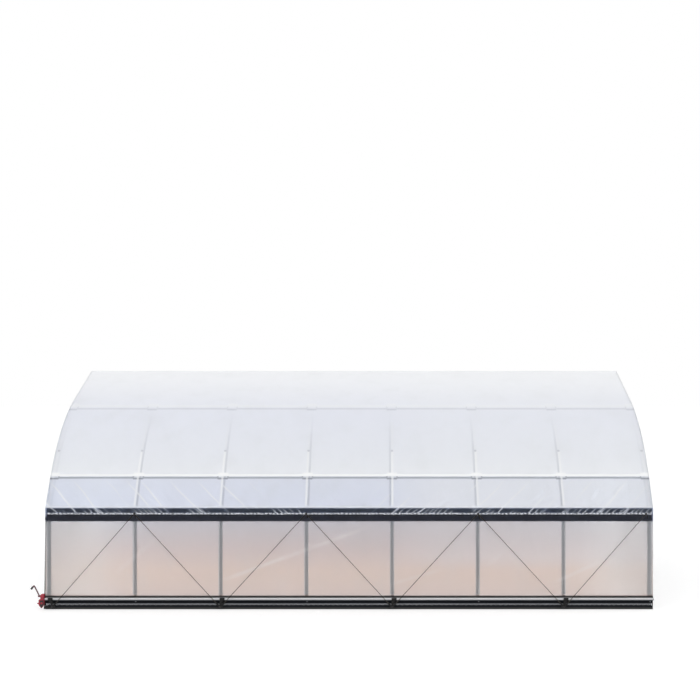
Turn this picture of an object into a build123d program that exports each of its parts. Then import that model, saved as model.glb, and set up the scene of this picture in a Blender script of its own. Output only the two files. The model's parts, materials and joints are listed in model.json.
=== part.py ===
"""Polytunnel greenhouse: pipe hoops, purlins, boards, roof film and roll-up side curtains.

X runs along the tunnel, Z is up and the origin lies on the ground at the middle of the plan.
The near side faces -Y. The far side is the near side turned half a turn about Z.
"""

import os

from build123d import *

# Clearances
seat_clearance = 0.3
running_clearance = 0.05
film_gap = 1.0
cut_overrun = 10.0

# Hoops
bay_count = 7
bay_length = 1306.0
tunnel_width = 6100.0
hoop_diameter = 50.0
knee_height = 1590.0
shoulder_inset = 745.0
shoulder_rise = 1140.0
rafter_rise = 830.0
knee_radius = 350.0
shoulder_radius = 3000.0
ridge_radius = 300.0
hoop_joint_gap = 0.6
splice_share = 0.239

# Purlins and the clamps that hold them to the hoops
purlin_diameter = 34.0
purlin_clamp_wall = 4.0
purlin_clamp_length = 62.0
lower_purlin_share = 0.1943
upper_purlin_share = 0.345
ridge_share = 0.5

# Boards along both sides
board_thickness = 20.0
board_overhang = 37.0
base_board_overhang = 53.0
hip_board_height = 200.0
hip_board_drop = 50.0
base_board_height = 200.0

# Channels that lock the film
channel_height = 30.0
channel_depth = 12.0
channel_wall = 2.0
channel_mouth = 14.0
hip_channel_drop = 80.0
base_channel_height = 75.0
arch_channel_foot = 20.0

# Film, side curtains and the bars that roll them up
film_thickness = 3.0
film_overhang = 55.0
eave_radius = 60.0
roll_bar_diameter = 34.0
roll_bar_overhang = 62.0
curtain_wrap = 5.0
roll_height = 160.0
roll_board_gap = 2.0

# Ropes that hold the curtains down and the hooks they run between
rope_diameter = 10.0
rope_roll_gap = 3.5
rope_end_inset = 60.0
rope_hook_diameter = 16.0
rope_hook_head = 26.0
rope_hook_head_thickness = 5.0
rope_foot_height = 40.0

# Winches, their guide poles and their cranks
gearbox_offset = 62.0
gearbox_upper_width = 58.0
gearbox_lower_width = 84.0
gearbox_front_depth = 45.0
gearbox_pole_gap = 5.7
gearbox_step_top = 165.0
gearbox_step_bottom = 150.0
gearbox_top = 238.0
gearbox_bottom = 22.0
gearbox_taper_height = 52.0
gearbox_shoulder = 14.0
gearbox_edge_radius = 5.0
boss_diameter = 32.0
boss_length = 8.0
stub_diameter = 20.0
stub_length = 26.0
stub_height = 93.0
crank_axis_height = 203.0
crank_shaft_diameter = 16.0
crank_hub_diameter = 30.0
crank_hub_length = 29.0
crank_cap_diameter = 24.0
crank_cap_length = 4.0
crank_rod_diameter = 20.0
crank_reach = 166.0
crank_lean = 84.0
crank_bend_radius = 12.0
grip_diameter = 32.0
grip_drop = 61.0
grip_lean = 44.0
grip_length = 46.0
pole_diameter = 20.0
pole_inset = 8.0
pole_foot_offset = 70.0
pole_top_offset = 50.0
pole_top_drop = 140.0
bracket_height = 40.0
bracket_thickness = 4.0
bracket_length = 80.0
foot_bracket_top = 44.0
guide_wall = 6.0
guide_width = 33.0
guide_bottom = 56.0
guide_top = 232.0

# End walls and doorways
door_width = 1200.0
door_height = 2100.0
door_pipe_diameter = 35.0
door_roll_diameter = 110.0
door_roll_overhang = 60.0
door_roll_lift = 45.0

# Places worked out from the sizes above
hoop_radius = hoop_diameter / 2
purlin_radius = purlin_diameter / 2
roll_bar_radius = roll_bar_diameter / 2
roll_radius = roll_bar_radius + curtain_wrap
rope_radius = rope_diameter / 2
pole_radius = pole_diameter / 2
door_pipe_radius = door_pipe_diameter / 2
door_roll_radius = door_roll_diameter / 2
end_x = bay_count * bay_length / 2
hoop_places = [bay * bay_length - end_x for bay in range(bay_count + 1)]
half_span = tunnel_width / 2 - hoop_radius
knee = Vector(half_span, knee_height)
shoulder = Vector(half_span - shoulder_inset, knee_height + shoulder_rise)
ridge = Vector(0, shoulder.Y + rafter_rise)
hip_board_top = knee_height - hip_board_drop
hip_board_bottom = hip_board_top - hip_board_height
hip_channel_middle = hip_board_top - hip_channel_drop
board_inner = half_span + hoop_radius + seat_clearance
board_outer = board_inner + board_thickness
film_inner = board_outer + channel_depth + seat_clearance
film_outer = film_inner + film_thickness
film_reach = end_x + film_overhang
board_reach = end_x + board_overhang
base_board_reach = end_x + base_board_overhang
roll_line = board_outer + roll_board_gap + roll_radius
rope_line = roll_line + roll_radius + rope_roll_gap + rope_radius
gearbox_face = end_x + gearbox_offset
pole_line = board_outer - pole_inset - pole_radius
header_height = door_height + door_pipe_radius
door_post_line = door_width / 2 + door_pipe_radius
end_film_face = end_x + hoop_radius + seat_clearance
end_film_outside = end_film_face + film_thickness

NEAR = 1
FAR = -1
SIDES = {"near": NEAR, "far": FAR}
# Ends of the tunnel by the sign of X
ENDS = {"left": -1, "right": 1}

os.makedirs("parts", exist_ok=True)


def write(block, name):
    """Label a finished piece and write it under the same name."""
    block.part.label = name
    export_step(block.part, f"parts/{name}.step")


def on_side(side, x, out, z):
    """Place of a point that lies x along the near side and out from the tunnel's middle plane."""
    return Vector(side * x, -side * out, z)


def section_plane(side, x=0.0):
    """Upright plane across the tunnel, with its first axis pointing out on the given side."""
    return Plane(origin=(side * x, 0, 0), x_dir=(0, -side, 0), z_dir=(-side, 0, 0))


def front_plane(side, out):
    """Upright plane along the tunnel, facing out on the given side, with its first axis along it."""
    return Plane(origin=(0, -side * out, 0), x_dir=(side, 0, 0), z_dir=(0, -side, 0))


def line_crossing(point_a, along_a, point_b, along_b):
    """Point where two lines in the hoop's plane cross."""
    reach = (point_b - point_a).cross(along_b).Z / along_a.cross(along_b).Z
    return point_a + along_a * reach


def arch_corners(leg_out, roof_out):
    """Eave, shoulder and ridge corners of a line that runs outside the hoop's centre line."""
    shoulder_run = (shoulder - knee).normalized()
    rafter_run = (ridge - shoulder).normalized()
    shoulder_start = knee + Vector(shoulder_run.Y, -shoulder_run.X) * roof_out
    rafter_start = shoulder + Vector(rafter_run.Y, -rafter_run.X) * roof_out
    leg_start = Vector(half_span + leg_out, 0)
    eave = line_crossing(leg_start, Vector(0, 1), shoulder_start, shoulder_run)
    bend = line_crossing(shoulder_start, shoulder_run, rafter_start, rafter_run)
    peak = line_crossing(rafter_start, rafter_run, Vector(0, 0), Vector(0, 1))
    return eave, bend, peak


def arch_line(foot_height, leg_out, roof_out, eave_bend):
    """Bent line over the whole tunnel, from one foot to the other, beside the hoop's centre line."""
    eave, bend, peak = arch_corners(leg_out, roof_out)
    rising = [(eave.X, foot_height), (eave.X, eave.Y), (bend.X, bend.Y)]
    falling = [(-across, height) for across, height in reversed(rising)]
    shoulder_bend = shoulder_radius + roof_out
    bends = [eave_bend, shoulder_bend, ridge_radius + roof_out, shoulder_bend, eave_bend]
    return FilletPolyline(*rising, (0, peak.Y), *falling, radius=bends)


# The hoop's centre line at the middle of the tunnel
with BuildLine(Plane.YZ) as hoop_line:
    arch_line(0, 0, 0, knee_radius)
hoop_wire = hoop_line.wire()
post_share = (hip_board_top - hip_board_height / 2) / hoop_wire.length
joint_shares = [post_share, splice_share, ridge_share, 1 - splice_share, 1 - post_share]

# Hoops, each of two posts and four bow pieces that meet at small joints
for number, place in enumerate(hoop_places, start=1):
    with BuildPart() as hoop:
        with BuildLine(Plane.YZ.offset(place)):
            arch_line(0, 0, 0, knee_radius)
        with BuildSketch():
            with Locations((place, half_span)):
                Circle(hoop_radius)
        sweep()
        for share in joint_shares:
            joint_point = hoop_wire @ share + Vector(place, 0, 0)
            with BuildSketch(Plane(origin=joint_point, x_dir=(1, 0, 0), z_dir=hoop_wire % share)):
                Rectangle(2 * hoop_diameter, 2 * hoop_diameter)
            extrude(amount=hoop_joint_gap / 2, both=True, mode=Mode.SUBTRACT)
    write(hoop, f"hoop_{number}")

# Purlins, cut to fit between neighbouring hoops
purlin_shares = {
    "ridge_purlin": ridge_share,
    "lower_purlin_near": 1 - lower_purlin_share,
    "upper_purlin_near": 1 - upper_purlin_share,
    "lower_purlin_far": lower_purlin_share,
    "upper_purlin_far": upper_purlin_share,
}
purlin_points = {name: hoop_wire @ share for name, share in purlin_shares.items()}
purlin_start = hoop_radius + seat_clearance
purlin_length = bay_length - 2 * purlin_start
for name, point in purlin_points.items():
    with BuildPart() as purlin:
        for place in hoop_places[:-1]:
            with BuildSketch(Plane.YZ.offset(place + purlin_start)):
                with Locations((point.Y, point.Z)):
                    Circle(purlin_radius)
            extrude(amount=purlin_length)
    write(purlin, name)

# Clamp rings round the purlins' ends, beside every hoop
with BuildPart() as purlin_clamps:
    for place in hoop_places:
        for way in (-1, 1):
            if abs(place + way * bay_length) > end_x + bay_length / 2:
                continue
            with BuildSketch(Plane.YZ.offset(place + way * purlin_start)):
                with Locations([(point.Y, point.Z) for point in purlin_points.values()]):
                    Circle(purlin_radius + seat_clearance + purlin_clamp_wall)
                    Circle(purlin_radius + seat_clearance, mode=Mode.SUBTRACT)
            extrude(amount=way * purlin_clamp_length)
write(purlin_clamps, "purlin_clamps")

# Roof film in three strips a side, from the hip channel over the two purlins to the ridge
roof_out = hoop_radius + seat_clearance
film_leg_out = film_inner - half_span
film_foot = hip_channel_middle + film_gap / 2
film_strips = {
    "eave": (None, lower_purlin_share),
    "shoulder": (lower_purlin_share, upper_purlin_share),
    "rafter": (upper_purlin_share, None),
}
for side_name, side in SIDES.items():
    for strip_name, (low_share, high_share) in film_strips.items():
        with BuildPart() as film_strip:
            with BuildSketch(section_plane(side, film_reach)):
                with BuildLine():
                    inside = arch_line(film_foot, film_leg_out, roof_out, eave_radius)
                    outside = arch_line(
                        film_foot,
                        film_leg_out + film_thickness,
                        roof_out + film_thickness,
                        eave_radius + film_thickness,
                    )
                    Line(inside @ 0, outside @ 0)
                    Line(inside @ 1, outside @ 1)
                make_face()
            extrude(amount=2 * film_reach)
            split(bisect_by=Plane(origin=(0, 0, 0), z_dir=(0, -side, 0)), keep=Keep.TOP)
            for share, kept in ((low_share, Keep.TOP), (high_share, Keep.BOTTOM)):
                if share is not None:
                    point = hoop_wire @ share
                    rise = hoop_wire % share
                    cut = Plane(
                        origin=(0, -side * abs(point.Y), point.Z),
                        x_dir=(1, 0, 0),
                        z_dir=(0, side * abs(rise.Y), abs(rise.Z)),
                    )
                    split(bisect_by=cut, keep=kept)
        write(film_strip, f"roof_film_{strip_name}_{side_name}")

# Hip boards and base boards outside the posts
for side_name, side in SIDES.items():
    boards = {
        "hip_board": (hip_board_bottom, hip_board_height, board_reach),
        "base_board": (0, base_board_height, base_board_reach),
    }
    for board_name, (bottom, height, reach) in boards.items():
        with BuildPart() as board:
            with BuildSketch(section_plane(side, reach)):
                with Locations((board_inner, bottom)):
                    Rectangle(board_thickness, height, align=(Align.MIN, Align.MIN))
            extrude(amount=2 * reach)
        write(board, f"{board_name}_{side_name}")


def channel_profile():
    """Lipped channel with its back on the second axis and its mouth along the first."""
    cavity_depth = channel_depth - 2 * channel_wall
    cavity_height = channel_height - 2 * channel_wall
    Rectangle(channel_depth, channel_height, align=(Align.MIN, Align.CENTER))
    with Locations((channel_wall, 0)):
        Rectangle(cavity_depth, cavity_height, align=(Align.MIN, Align.CENTER), mode=Mode.SUBTRACT)
    with Locations((channel_wall + cavity_depth, 0)):
        Rectangle(channel_wall, channel_mouth, align=(Align.MIN, Align.CENTER), mode=Mode.SUBTRACT)


# Lock channels on the hip boards, on the base boards and round the arch of both end walls
with BuildPart() as film_lock_channels:
    for side in SIDES.values():
        for middle in (hip_channel_middle, base_channel_height):
            start = Plane(
                origin=on_side(side, board_reach, board_outer, middle),
                x_dir=(0, -side, 0),
                z_dir=(-side, 0, 0),
            )
            with BuildSketch(start):
                channel_profile()
            extrude(amount=2 * board_reach)
    for end in ENDS.values():
        channel_back = end * (end_film_outside + seat_clearance)
        with BuildLine(Plane.YZ.offset(channel_back)):
            arch_line(arch_channel_foot, 0, 0, knee_radius)
        foot = Plane(
            origin=(channel_back, half_span, arch_channel_foot),
            x_dir=(end, 0, 0),
            z_dir=(0, 0, 1),
        )
        with BuildSketch(foot):
            channel_profile()
        sweep()
write(film_lock_channels, "film_lock_channels")

# Side curtains: a flat sheet below the hip channel and the turns of film wound on the roll bar
sheet_stand_off = max(roll_line - film_outer, 0)
sheet_foot = roll_height + max(roll_radius**2 - sheet_stand_off**2, 0) ** 0.5 + seat_clearance
sheet_top = hip_channel_middle - film_gap / 2
for side_name, side in SIDES.items():
    with BuildPart() as side_curtain:
        with BuildSketch(section_plane(side, film_reach)):
            with Locations((film_inner, sheet_foot)):
                Rectangle(film_thickness, sheet_top - sheet_foot, align=(Align.MIN, Align.MIN))
            with Locations((roll_line, roll_height)):
                Circle(roll_radius)
                Circle(roll_bar_radius + seat_clearance, mode=Mode.SUBTRACT)
        extrude(amount=2 * film_reach)
    write(side_curtain, f"side_curtain_{side_name}")

    with BuildPart() as roll_bar:
        with BuildSketch(section_plane(side, end_x + roll_bar_overhang)):
            with Locations((roll_line, roll_height)):
                Circle(roll_bar_radius)
        extrude(amount=end_x + roll_bar_overhang + gearbox_face - seat_clearance)
    write(roll_bar, f"roll_bar_{side_name}")

# Hooks at the hip on every second hoop and at the foot on the hoops between
anchor_places = list(hoop_places)
anchor_places[0] += rope_end_inset
anchor_places[-1] -= rope_end_inset
rope_anchors = [
    Vector(place, hip_channel_middle if number % 2 else rope_foot_height)
    for number, place in enumerate(anchor_places)
]
rope_hook_radius = rope_hook_diameter / 2
rope_hook_tip = rope_line + rope_radius + film_gap
with BuildPart() as rope_hooks:
    for side in SIDES.values():
        for anchor in rope_anchors:
            seat = film_outer if anchor.Y > rope_foot_height else board_outer
            with BuildSketch(front_plane(side, seat + seat_clearance)):
                with Locations((anchor.X, anchor.Y)):
                    Circle(rope_hook_radius)
            extrude(amount=rope_hook_tip - seat - seat_clearance)
            with BuildSketch(front_plane(side, rope_hook_tip)):
                with Locations((anchor.X, anchor.Y)):
                    Circle(rope_hook_head / 2)
            extrude(amount=rope_hook_head_thickness)
write(rope_hooks, "rope_hooks")

# Taut ropes that zigzag outside the curtains, one straight run from hook to hook
for side_name, side in SIDES.items():
    with BuildPart() as rope:
        for first, second in zip(rope_anchors, rope_anchors[1:]):
            run = second - first
            rope_start = first + run.normalized() * (rope_hook_radius + seat_clearance)
            rope_plane = Plane(
                origin=on_side(side, rope_start.X, rope_line, rope_start.Y),
                z_dir=(side * run.X, 0, run.Y),
            )
            with BuildSketch(rope_plane):
                Circle(rope_radius)
            extrude(amount=run.length - 2 * (rope_hook_radius + seat_clearance))
    write(rope, f"curtain_rope_{side_name}")

# Guide poles that the winches climb, each with brackets on the ends of its hip board and base board
pole_top = hip_board_top - pole_top_drop
pole_foot_x = -(end_x + pole_foot_offset)
pole_top_x = -(end_x + pole_top_offset)


def add_pole(side, radius, bottom, top, mode=Mode.ADD):
    """Slightly leaning round pole, or its bore, between two heights."""
    lean = (pole_top_x - pole_foot_x) / pole_top
    with BuildSketch(Plane.XY.offset(bottom)) as pole_foot:
        with Locations((side * (pole_foot_x + lean * bottom), -side * pole_line)):
            Circle(radius)
    slant_length = (top - bottom) * (1 + lean**2) ** 0.5
    extrude(pole_foot.sketch, amount=slant_length, dir=(side * lean, 0, 1), mode=mode)


bracket_outer = board_outer + seat_clearance + bracket_thickness
with BuildPart() as guide_poles:
    for side in SIDES.values():
        add_pole(side, pole_radius, 0, pole_top)
        pole_brackets = (
            (pole_top_x, pole_top, board_reach),
            (pole_foot_x, foot_bracket_top, base_board_reach),
        )
        for bracket_pole, bracket_top, reach in pole_brackets:
            bracket_start = bracket_pole - pole_radius
            bracket_ends = {
                pole_line: -(reach + seat_clearance) - bracket_start,
                board_outer + seat_clearance: bracket_length,
            }
            for inner, length in bracket_ends.items():
                with BuildSketch(front_plane(side, inner)):
                    with Locations((bracket_start, bracket_top)):
                        Rectangle(length, bracket_height, align=(Align.MIN, Align.MAX))
                extrude(amount=bracket_outer - inner)
write(guide_poles, "guide_poles")

# Winch gearboxes at the ends of the roll bars, with the shaft that carries the crank
upper_face = gearbox_face + gearbox_upper_width
lower_face = gearbox_face + gearbox_lower_width
gearbox_back = pole_line + pole_radius + gearbox_pole_gap
gearbox_front = roll_line + gearbox_front_depth
boss_face = upper_face + boss_length
hub_face = boss_face + seat_clearance
cap_face = hub_face + crank_hub_length + seat_clearance
for side_name, side in SIDES.items():
    with BuildPart() as winch_gearbox:
        with BuildSketch(front_plane(side, gearbox_back)):
            with BuildLine():
                Polyline(
                    (-gearbox_face, gearbox_top),
                    (-upper_face + gearbox_shoulder, gearbox_top),
                    (-upper_face, gearbox_top - gearbox_shoulder),
                    (-upper_face, gearbox_step_top),
                    (-lower_face, gearbox_step_bottom),
                    (-lower_face, gearbox_bottom + gearbox_taper_height),
                    (-(gearbox_face + lower_face) / 2, gearbox_bottom),
                    (-gearbox_face, gearbox_bottom + gearbox_taper_height),
                    close=True,
                )
            make_face()
        extrude(amount=gearbox_front - gearbox_back)
        fillet(winch_gearbox.edges().filter_by(Axis.Y), radius=gearbox_edge_radius)
        turned_pieces = (
            (boss_diameter, crank_axis_height, upper_face, boss_length),
            (crank_shaft_diameter, crank_axis_height, boss_face, cap_face - boss_face),
            (crank_cap_diameter, crank_axis_height, cap_face, crank_cap_length),
            (stub_diameter, stub_height, lower_face, stub_length),
        )
        for diameter, height, start, length in turned_pieces:
            with BuildSketch(section_plane(side, -start)):
                with Locations((roll_line, height)):
                    Circle(diameter / 2)
            extrude(amount=length)
    write(winch_gearbox, f"winch_gearbox_{side_name}")

# Guides behind the gearboxes that slide on the poles
guide_back = pole_line - pole_radius - guide_wall
guide_front = gearbox_back - seat_clearance
guide_middle = -(film_reach + film_gap + guide_width / 2)
with BuildPart() as winch_guides:
    for side in SIDES.values():
        with BuildSketch(Plane.XY.offset(guide_bottom)):
            with Locations((side * guide_middle, -side * (guide_back + guide_front) / 2)):
                Rectangle(guide_width, guide_front - guide_back)
        extrude(amount=guide_top - guide_bottom)
        bore = pole_radius + 2 * seat_clearance
        add_pole(side, bore, guide_bottom - cut_overrun, guide_top + cut_overrun, Mode.SUBTRACT)
write(winch_guides, "winch_guides")

# Cranks: a hub on the gearbox's shaft, a bent rod and a grip round the rod's end
crank_rod_radius = crank_rod_diameter / 2
rod_foot = -(hub_face + crank_rod_radius)
rod_points = [
    Vector(rod_foot, crank_axis_height),
    Vector(rod_foot - crank_lean, crank_axis_height + crank_reach),
    Vector(rod_foot - crank_lean - grip_lean, crank_axis_height + crank_reach - grip_drop),
]
for side_name, side in SIDES.items():
    with BuildPart() as crank_handle:
        with BuildLine(front_plane(side, roll_line)):
            FilletPolyline(*((point.X, point.Y) for point in rod_points), radius=crank_bend_radius)
        rod_run = rod_points[1] - rod_points[0]
        rod_start = on_side(side, rod_points[0].X, roll_line, rod_points[0].Y)
        with BuildSketch(Plane(origin=rod_start, z_dir=(side * rod_run.X, 0, rod_run.Y))):
            Circle(crank_rod_radius)
        sweep()
        with BuildSketch(section_plane(side, -hub_face)):
            with Locations((roll_line, crank_axis_height)):
                Circle(crank_hub_diameter / 2)
        extrude(amount=crank_hub_length)
        with BuildSketch(section_plane(side, -hub_face + cut_overrun)):
            with Locations((roll_line, crank_axis_height)):
                Circle(crank_shaft_diameter / 2 + running_clearance)
        extrude(amount=crank_hub_length + 2 * cut_overrun, mode=Mode.SUBTRACT)
    write(crank_handle, f"crank_handle_{side_name}")

    grip_run = rod_points[2] - rod_points[1]
    grip_start = rod_points[2] - grip_run.normalized() * grip_length
    grip_plane = Plane(
        origin=on_side(side, grip_start.X, roll_line, grip_start.Y),
        z_dir=(side * grip_run.X, 0, grip_run.Y),
    )
    with BuildPart() as crank_grip:
        with BuildSketch(grip_plane):
            Circle(grip_diameter / 2)
            Circle(crank_rod_radius + seat_clearance, mode=Mode.SUBTRACT)
        extrude(amount=grip_length)
    write(crank_grip, f"crank_grip_{side_name}")

# End walls: film beside and over the doorway, and the pipe frame of the doorway
rafter_slope = (ridge.Y - shoulder.Y) / (shoulder.X - ridge.X)
post_corner = door_post_line + door_pipe_radius
hoop_underside = hoop_radius * (1 + rafter_slope**2) ** 0.5
door_post_top = ridge.Y - rafter_slope * post_corner - hoop_underside - seat_clearance
for end_name, end in ENDS.items():
    film_plane = Plane(origin=(end * end_film_face, 0, 0), x_dir=(0, end, 0), z_dir=(end, 0, 0))
    with BuildPart() as end_wall_film:
        with BuildSketch(film_plane):
            with BuildLine():
                edge = channel_height / 2
                outline = arch_line(0, edge, edge, knee_radius + edge)
                Line(outline @ 0, outline @ 1)
            make_face()
            Rectangle(
                2 * door_post_line,
                header_height,
                align=(Align.CENTER, Align.MIN),
                mode=Mode.SUBTRACT,
            )
            for post in (-door_post_line, door_post_line):
                with Locations((post, 0)):
                    Rectangle(film_gap, ridge.Y, align=(Align.CENTER, Align.MIN), mode=Mode.SUBTRACT)
        extrude(amount=film_thickness)
    write(end_wall_film, f"end_wall_film_{end_name}")

    pipe_x = end * (end_x + hoop_radius - door_pipe_radius)
    with BuildPart() as door_frame:
        with BuildSketch():
            with Locations((pipe_x, -door_post_line), (pipe_x, door_post_line)):
                Circle(door_pipe_radius)
        extrude(amount=door_post_top)
        header_half = door_width / 2 - seat_clearance
        with BuildSketch(Plane.XZ.offset(-header_half)):
            with Locations((pipe_x, header_height)):
                Circle(door_pipe_radius)
        extrude(amount=2 * header_half)
    write(door_frame, f"door_frame_{end_name}")

# Film doors, rolled up over both doorways
door_roll_x = end_film_outside + seat_clearance + door_roll_radius
door_roll_half = door_post_line + door_roll_overhang
with BuildPart() as door_rolls:
    with BuildSketch(Plane.XZ.offset(-door_roll_half)):
        for end in ENDS.values():
            with Locations((end * door_roll_x, header_height + door_roll_lift)):
                Circle(door_roll_radius)
    extrude(amount=2 * door_roll_half)
write(door_rolls, "door_rolls")
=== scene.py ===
"""Looks of the polytunnel greenhouse: film, pipes, boards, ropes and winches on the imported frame.

Lengths are in metres. X runs along the tunnel, -Y is the near side and Z is up.
The far side is the near side turned half a turn about Z.
"""

import json
import math
import random
from functools import reduce

import bmesh
import bpy
import numpy as np
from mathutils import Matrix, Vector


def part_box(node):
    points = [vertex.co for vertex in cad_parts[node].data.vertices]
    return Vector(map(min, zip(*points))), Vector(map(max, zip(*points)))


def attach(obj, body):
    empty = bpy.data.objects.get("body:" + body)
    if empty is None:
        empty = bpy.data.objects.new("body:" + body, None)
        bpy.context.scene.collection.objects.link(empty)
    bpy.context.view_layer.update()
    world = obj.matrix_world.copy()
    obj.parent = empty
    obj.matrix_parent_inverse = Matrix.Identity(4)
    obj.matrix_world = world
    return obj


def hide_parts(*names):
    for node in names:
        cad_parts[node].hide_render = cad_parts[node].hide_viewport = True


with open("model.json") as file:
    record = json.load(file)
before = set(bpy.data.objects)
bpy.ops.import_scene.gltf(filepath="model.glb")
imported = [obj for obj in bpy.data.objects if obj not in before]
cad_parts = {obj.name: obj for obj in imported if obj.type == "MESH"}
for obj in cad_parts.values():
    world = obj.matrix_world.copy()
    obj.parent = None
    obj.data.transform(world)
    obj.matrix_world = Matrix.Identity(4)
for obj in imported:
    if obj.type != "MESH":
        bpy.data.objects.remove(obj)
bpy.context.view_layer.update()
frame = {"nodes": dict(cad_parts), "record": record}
nodes = frame["nodes"]

# Hoops and purlins
HOOP_COUNT = 8
HOOP_X = [sum(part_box(f"hoop_{n}")[k].x for k in (0, 1)) / 2 for n in range(1, HOOP_COUNT + 1)]
BAY = HOOP_X[1] - HOOP_X[0]
END_X = HOOP_X[-1]
HOOP_RADIUS = 0.025
HALF_SPAN = 3.025
KNEE = (HALF_SPAN, 1.590)
SHOULDER = (2.280, 2.730)
RIDGE = (0.0, 3.560)
KNEE_RADIUS = 0.350
SHOULDER_RADIUS = 3.000
RIDGE_RADIUS = 0.300
ARCH_PROBE = 0.01
SPLICE_HEIGHT = 2.365
SPLICE_BOLT_SHIFT = 0.035
LOWER_PURLIN_HEIGHT = 1.986
UPPER_PURLIN_HEIGHT = 2.989
CLAMP_BOLT_SEAT = 0.0207
CLAMP_BOLT_PLACES = (0.040, 0.072)

# Boards and channels
BOARD_OUTER = 3.0703
BOARD_REACH = END_X + 0.037
HIP_CHANNEL_Z = 1.460
HIP_BOARD_TOP = 1.540
BASE_CHANNEL_Z = 0.075
CHANNEL_FRONT = BOARD_OUTER + 0.012
CHANNEL_FLOOR = CHANNEL_FRONT - 0.0098
CHANNEL_END_GAP = 0.01
CHANNEL_SCREW_PITCH = 0.45
ARCH_CHANNEL_FRONT = END_X + 0.0406
ARCH_CHANNEL_FOOT = 0.03
BOARD_SCREWS = ((1.365, 0.0), (1.515, 0.0), (0.115, 0.012))

# Film
FILM_THICKNESS = 0.0012
FILM_IOR = 1.25
FILM_ROUGHNESS = 0.5
FILM_REACH = END_X + 0.055
FILM_COLUMNS = 258
FILM_LINE = 3.0838
ROOF_OUT = HOOP_RADIUS + 0.0015
EAVE_RADIUS = 0.060
TUCK_DEPTH = 0.006
TUCK_HEIGHT = 0.016
TUCK_STEPS = [0.0, 0.005, 0.010, TUCK_HEIGHT]
CHANNEL_GAP = 0.0005
ROOF_SAG = 0.004
ROOF_RIPPLE = 0.0012
EAVE_FOLDS_A_BAY = 5
EAVE_FOLD_WIDTH = 0.018
ROLL_LINE = 3.0943
ROLL_Z = 0.160
ROLL_RADIUS = 0.0215
BAR_RADIUS = 0.017
ROLL_TURNS = 2.4
CURTAIN_RIPPLE = 0.0018
SMALL_FOLDS = 16
SMALL_FOLD_WIDTH = 0.03
END_FILM_X = END_X + 0.0263
END_FILM_INSET = 0.015
END_PANEL_STEP = 0.075
TAIL_THICKNESS = 0.0006
TAIL_RUFFLE = 0.0035
TAIL_RAGGED = 0.003
TAIL_STEP = 0.011
TAIL_WAVE = 0.058

# Long folds of the curtains: both ends along and up, height, width and strength of the painted highlight
# along them
CURTAIN_FOLDS = [
    ((-2.10, 0.38), (0.42, 1.30), 0.007, 0.030, 0.45),
    ((3.10, 0.40), (3.85, 0.74), 0.006, 0.028, 0.40),
    ((0.55, 0.36), (1.45, 0.62), 0.005, 0.026, 0.25),
    ((-3.6, 0.51), (-2.9, 1.11), 0.004, 0.035, 0.18),
    ((2.05, 0.62), (2.62, 1.12), 0.004, 0.030, 0.20),
]

# Lock wires, ropes and hooks
WIRE_PITCH = 0.075
WIRE_STEP = 0.0075
WIRE_SWING = 0.0088
WIRE_DIP = 0.003
WIRE_RADIUS = 0.0016
ROPE_LINE = 3.1248
ROPE_END_INSET = 0.060
ROPE_FOOT_Z = 0.040
ROPE_LAY = 0.045
ROPE_STEP = 0.008
STRANDS = 3
STRAND_OFFSET = 0.0024
STRAND_RADIUS = 0.0026
HOOK_RADIUS = 0.008
HOOK_TURNS = 2.3
KNOT_ROPE_RADIUS = 0.0042
FOOT_TAIL = 0.022
HIP_TAIL = 0.055
HIP_TAIL_STEP = 0.012
HITCH_START = 0.024
HITCH_STOP = 0.100
HITCH_TURNS = 8
HITCH_RADIUS = 0.0088
BUNDLE_BOTTOM = 0.062
BUNDLE_TOP = 0.186
BUNDLE_LOOPS = 5
BUNDLE_HALF_WIDTH = 0.030
BUNDLE_LEAN = 0.034
BUNDLE_FAN = 1.25
WRAP_BOTTOM = 0.148
WRAP_TOP = 0.180
WRAP_TURNS = 4
PLATE_THICKNESS = 0.003
PLATE_BOLTS = ((-0.023, -0.010), (0.023, -0.010))
PLATE_OUTLINE = [
    (-0.034, -0.030),
    (0.034, -0.030),
    (0.034, 0.012),
    (0.020, 0.017),
    (-0.020, 0.017),
    (-0.034, 0.012),
]

# Winches and cranks
GEARBOX_RIGHT = -(END_X + 0.062)
GEARBOX_UPPER_LEFT = GEARBOX_RIGHT - 0.058
GEARBOX_LOWER_LEFT = GEARBOX_RIGHT - 0.084
GEARBOX_MIDDLE = (GEARBOX_RIGHT + GEARBOX_LOWER_LEFT) / 2
GEARBOX_BACK = 3.068
GEARBOX_FRONT = 3.1393
GEARBOX_RIM = GEARBOX_FRONT - 0.012
GEARBOX_TOP = 0.238
GEARBOX_STEP = (0.165, 0.150)
GEARBOX_BOTTOM = 0.022
GEARBOX_TAPER = 0.052
GEARBOX_SHOULDER = 0.014
COVER_FRONT = GEARBOX_FRONT - 0.004
COVER_MIDDLE_Z = 0.1
COVER_BOLT_INSET = 0.16
GEAR_CAP_Z = 0.104
BOSS_LENGTH = 0.008
CRANK_AXIS_Z = 0.203
HUB_LENGTH = 0.029
SHAFT_CAP = HUB_LENGTH + 0.0006
STUB_Z = 0.093
SEATING = 0.002
COVER_SEATING = 0.0002
CRANK_ROD_RADIUS = 0.010
CRANK_BEND_X = GEARBOX_UPPER_LEFT - BOSS_LENGTH - 0.0003 - CRANK_ROD_RADIUS - 0.084
CRANK_BEND = (CRANK_BEND_X, CRANK_AXIS_Z + 0.166)
CRANK_END = (CRANK_BEND_X - 0.044, CRANK_AXIS_Z + 0.166 - 0.061)
GRIP_LENGTH = 0.046
GRIP_RADIUS = 0.016
GRIP_RIBS = 8
RIB_PITCH = 0.005
RIB_DEPTH = 0.0012

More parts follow.
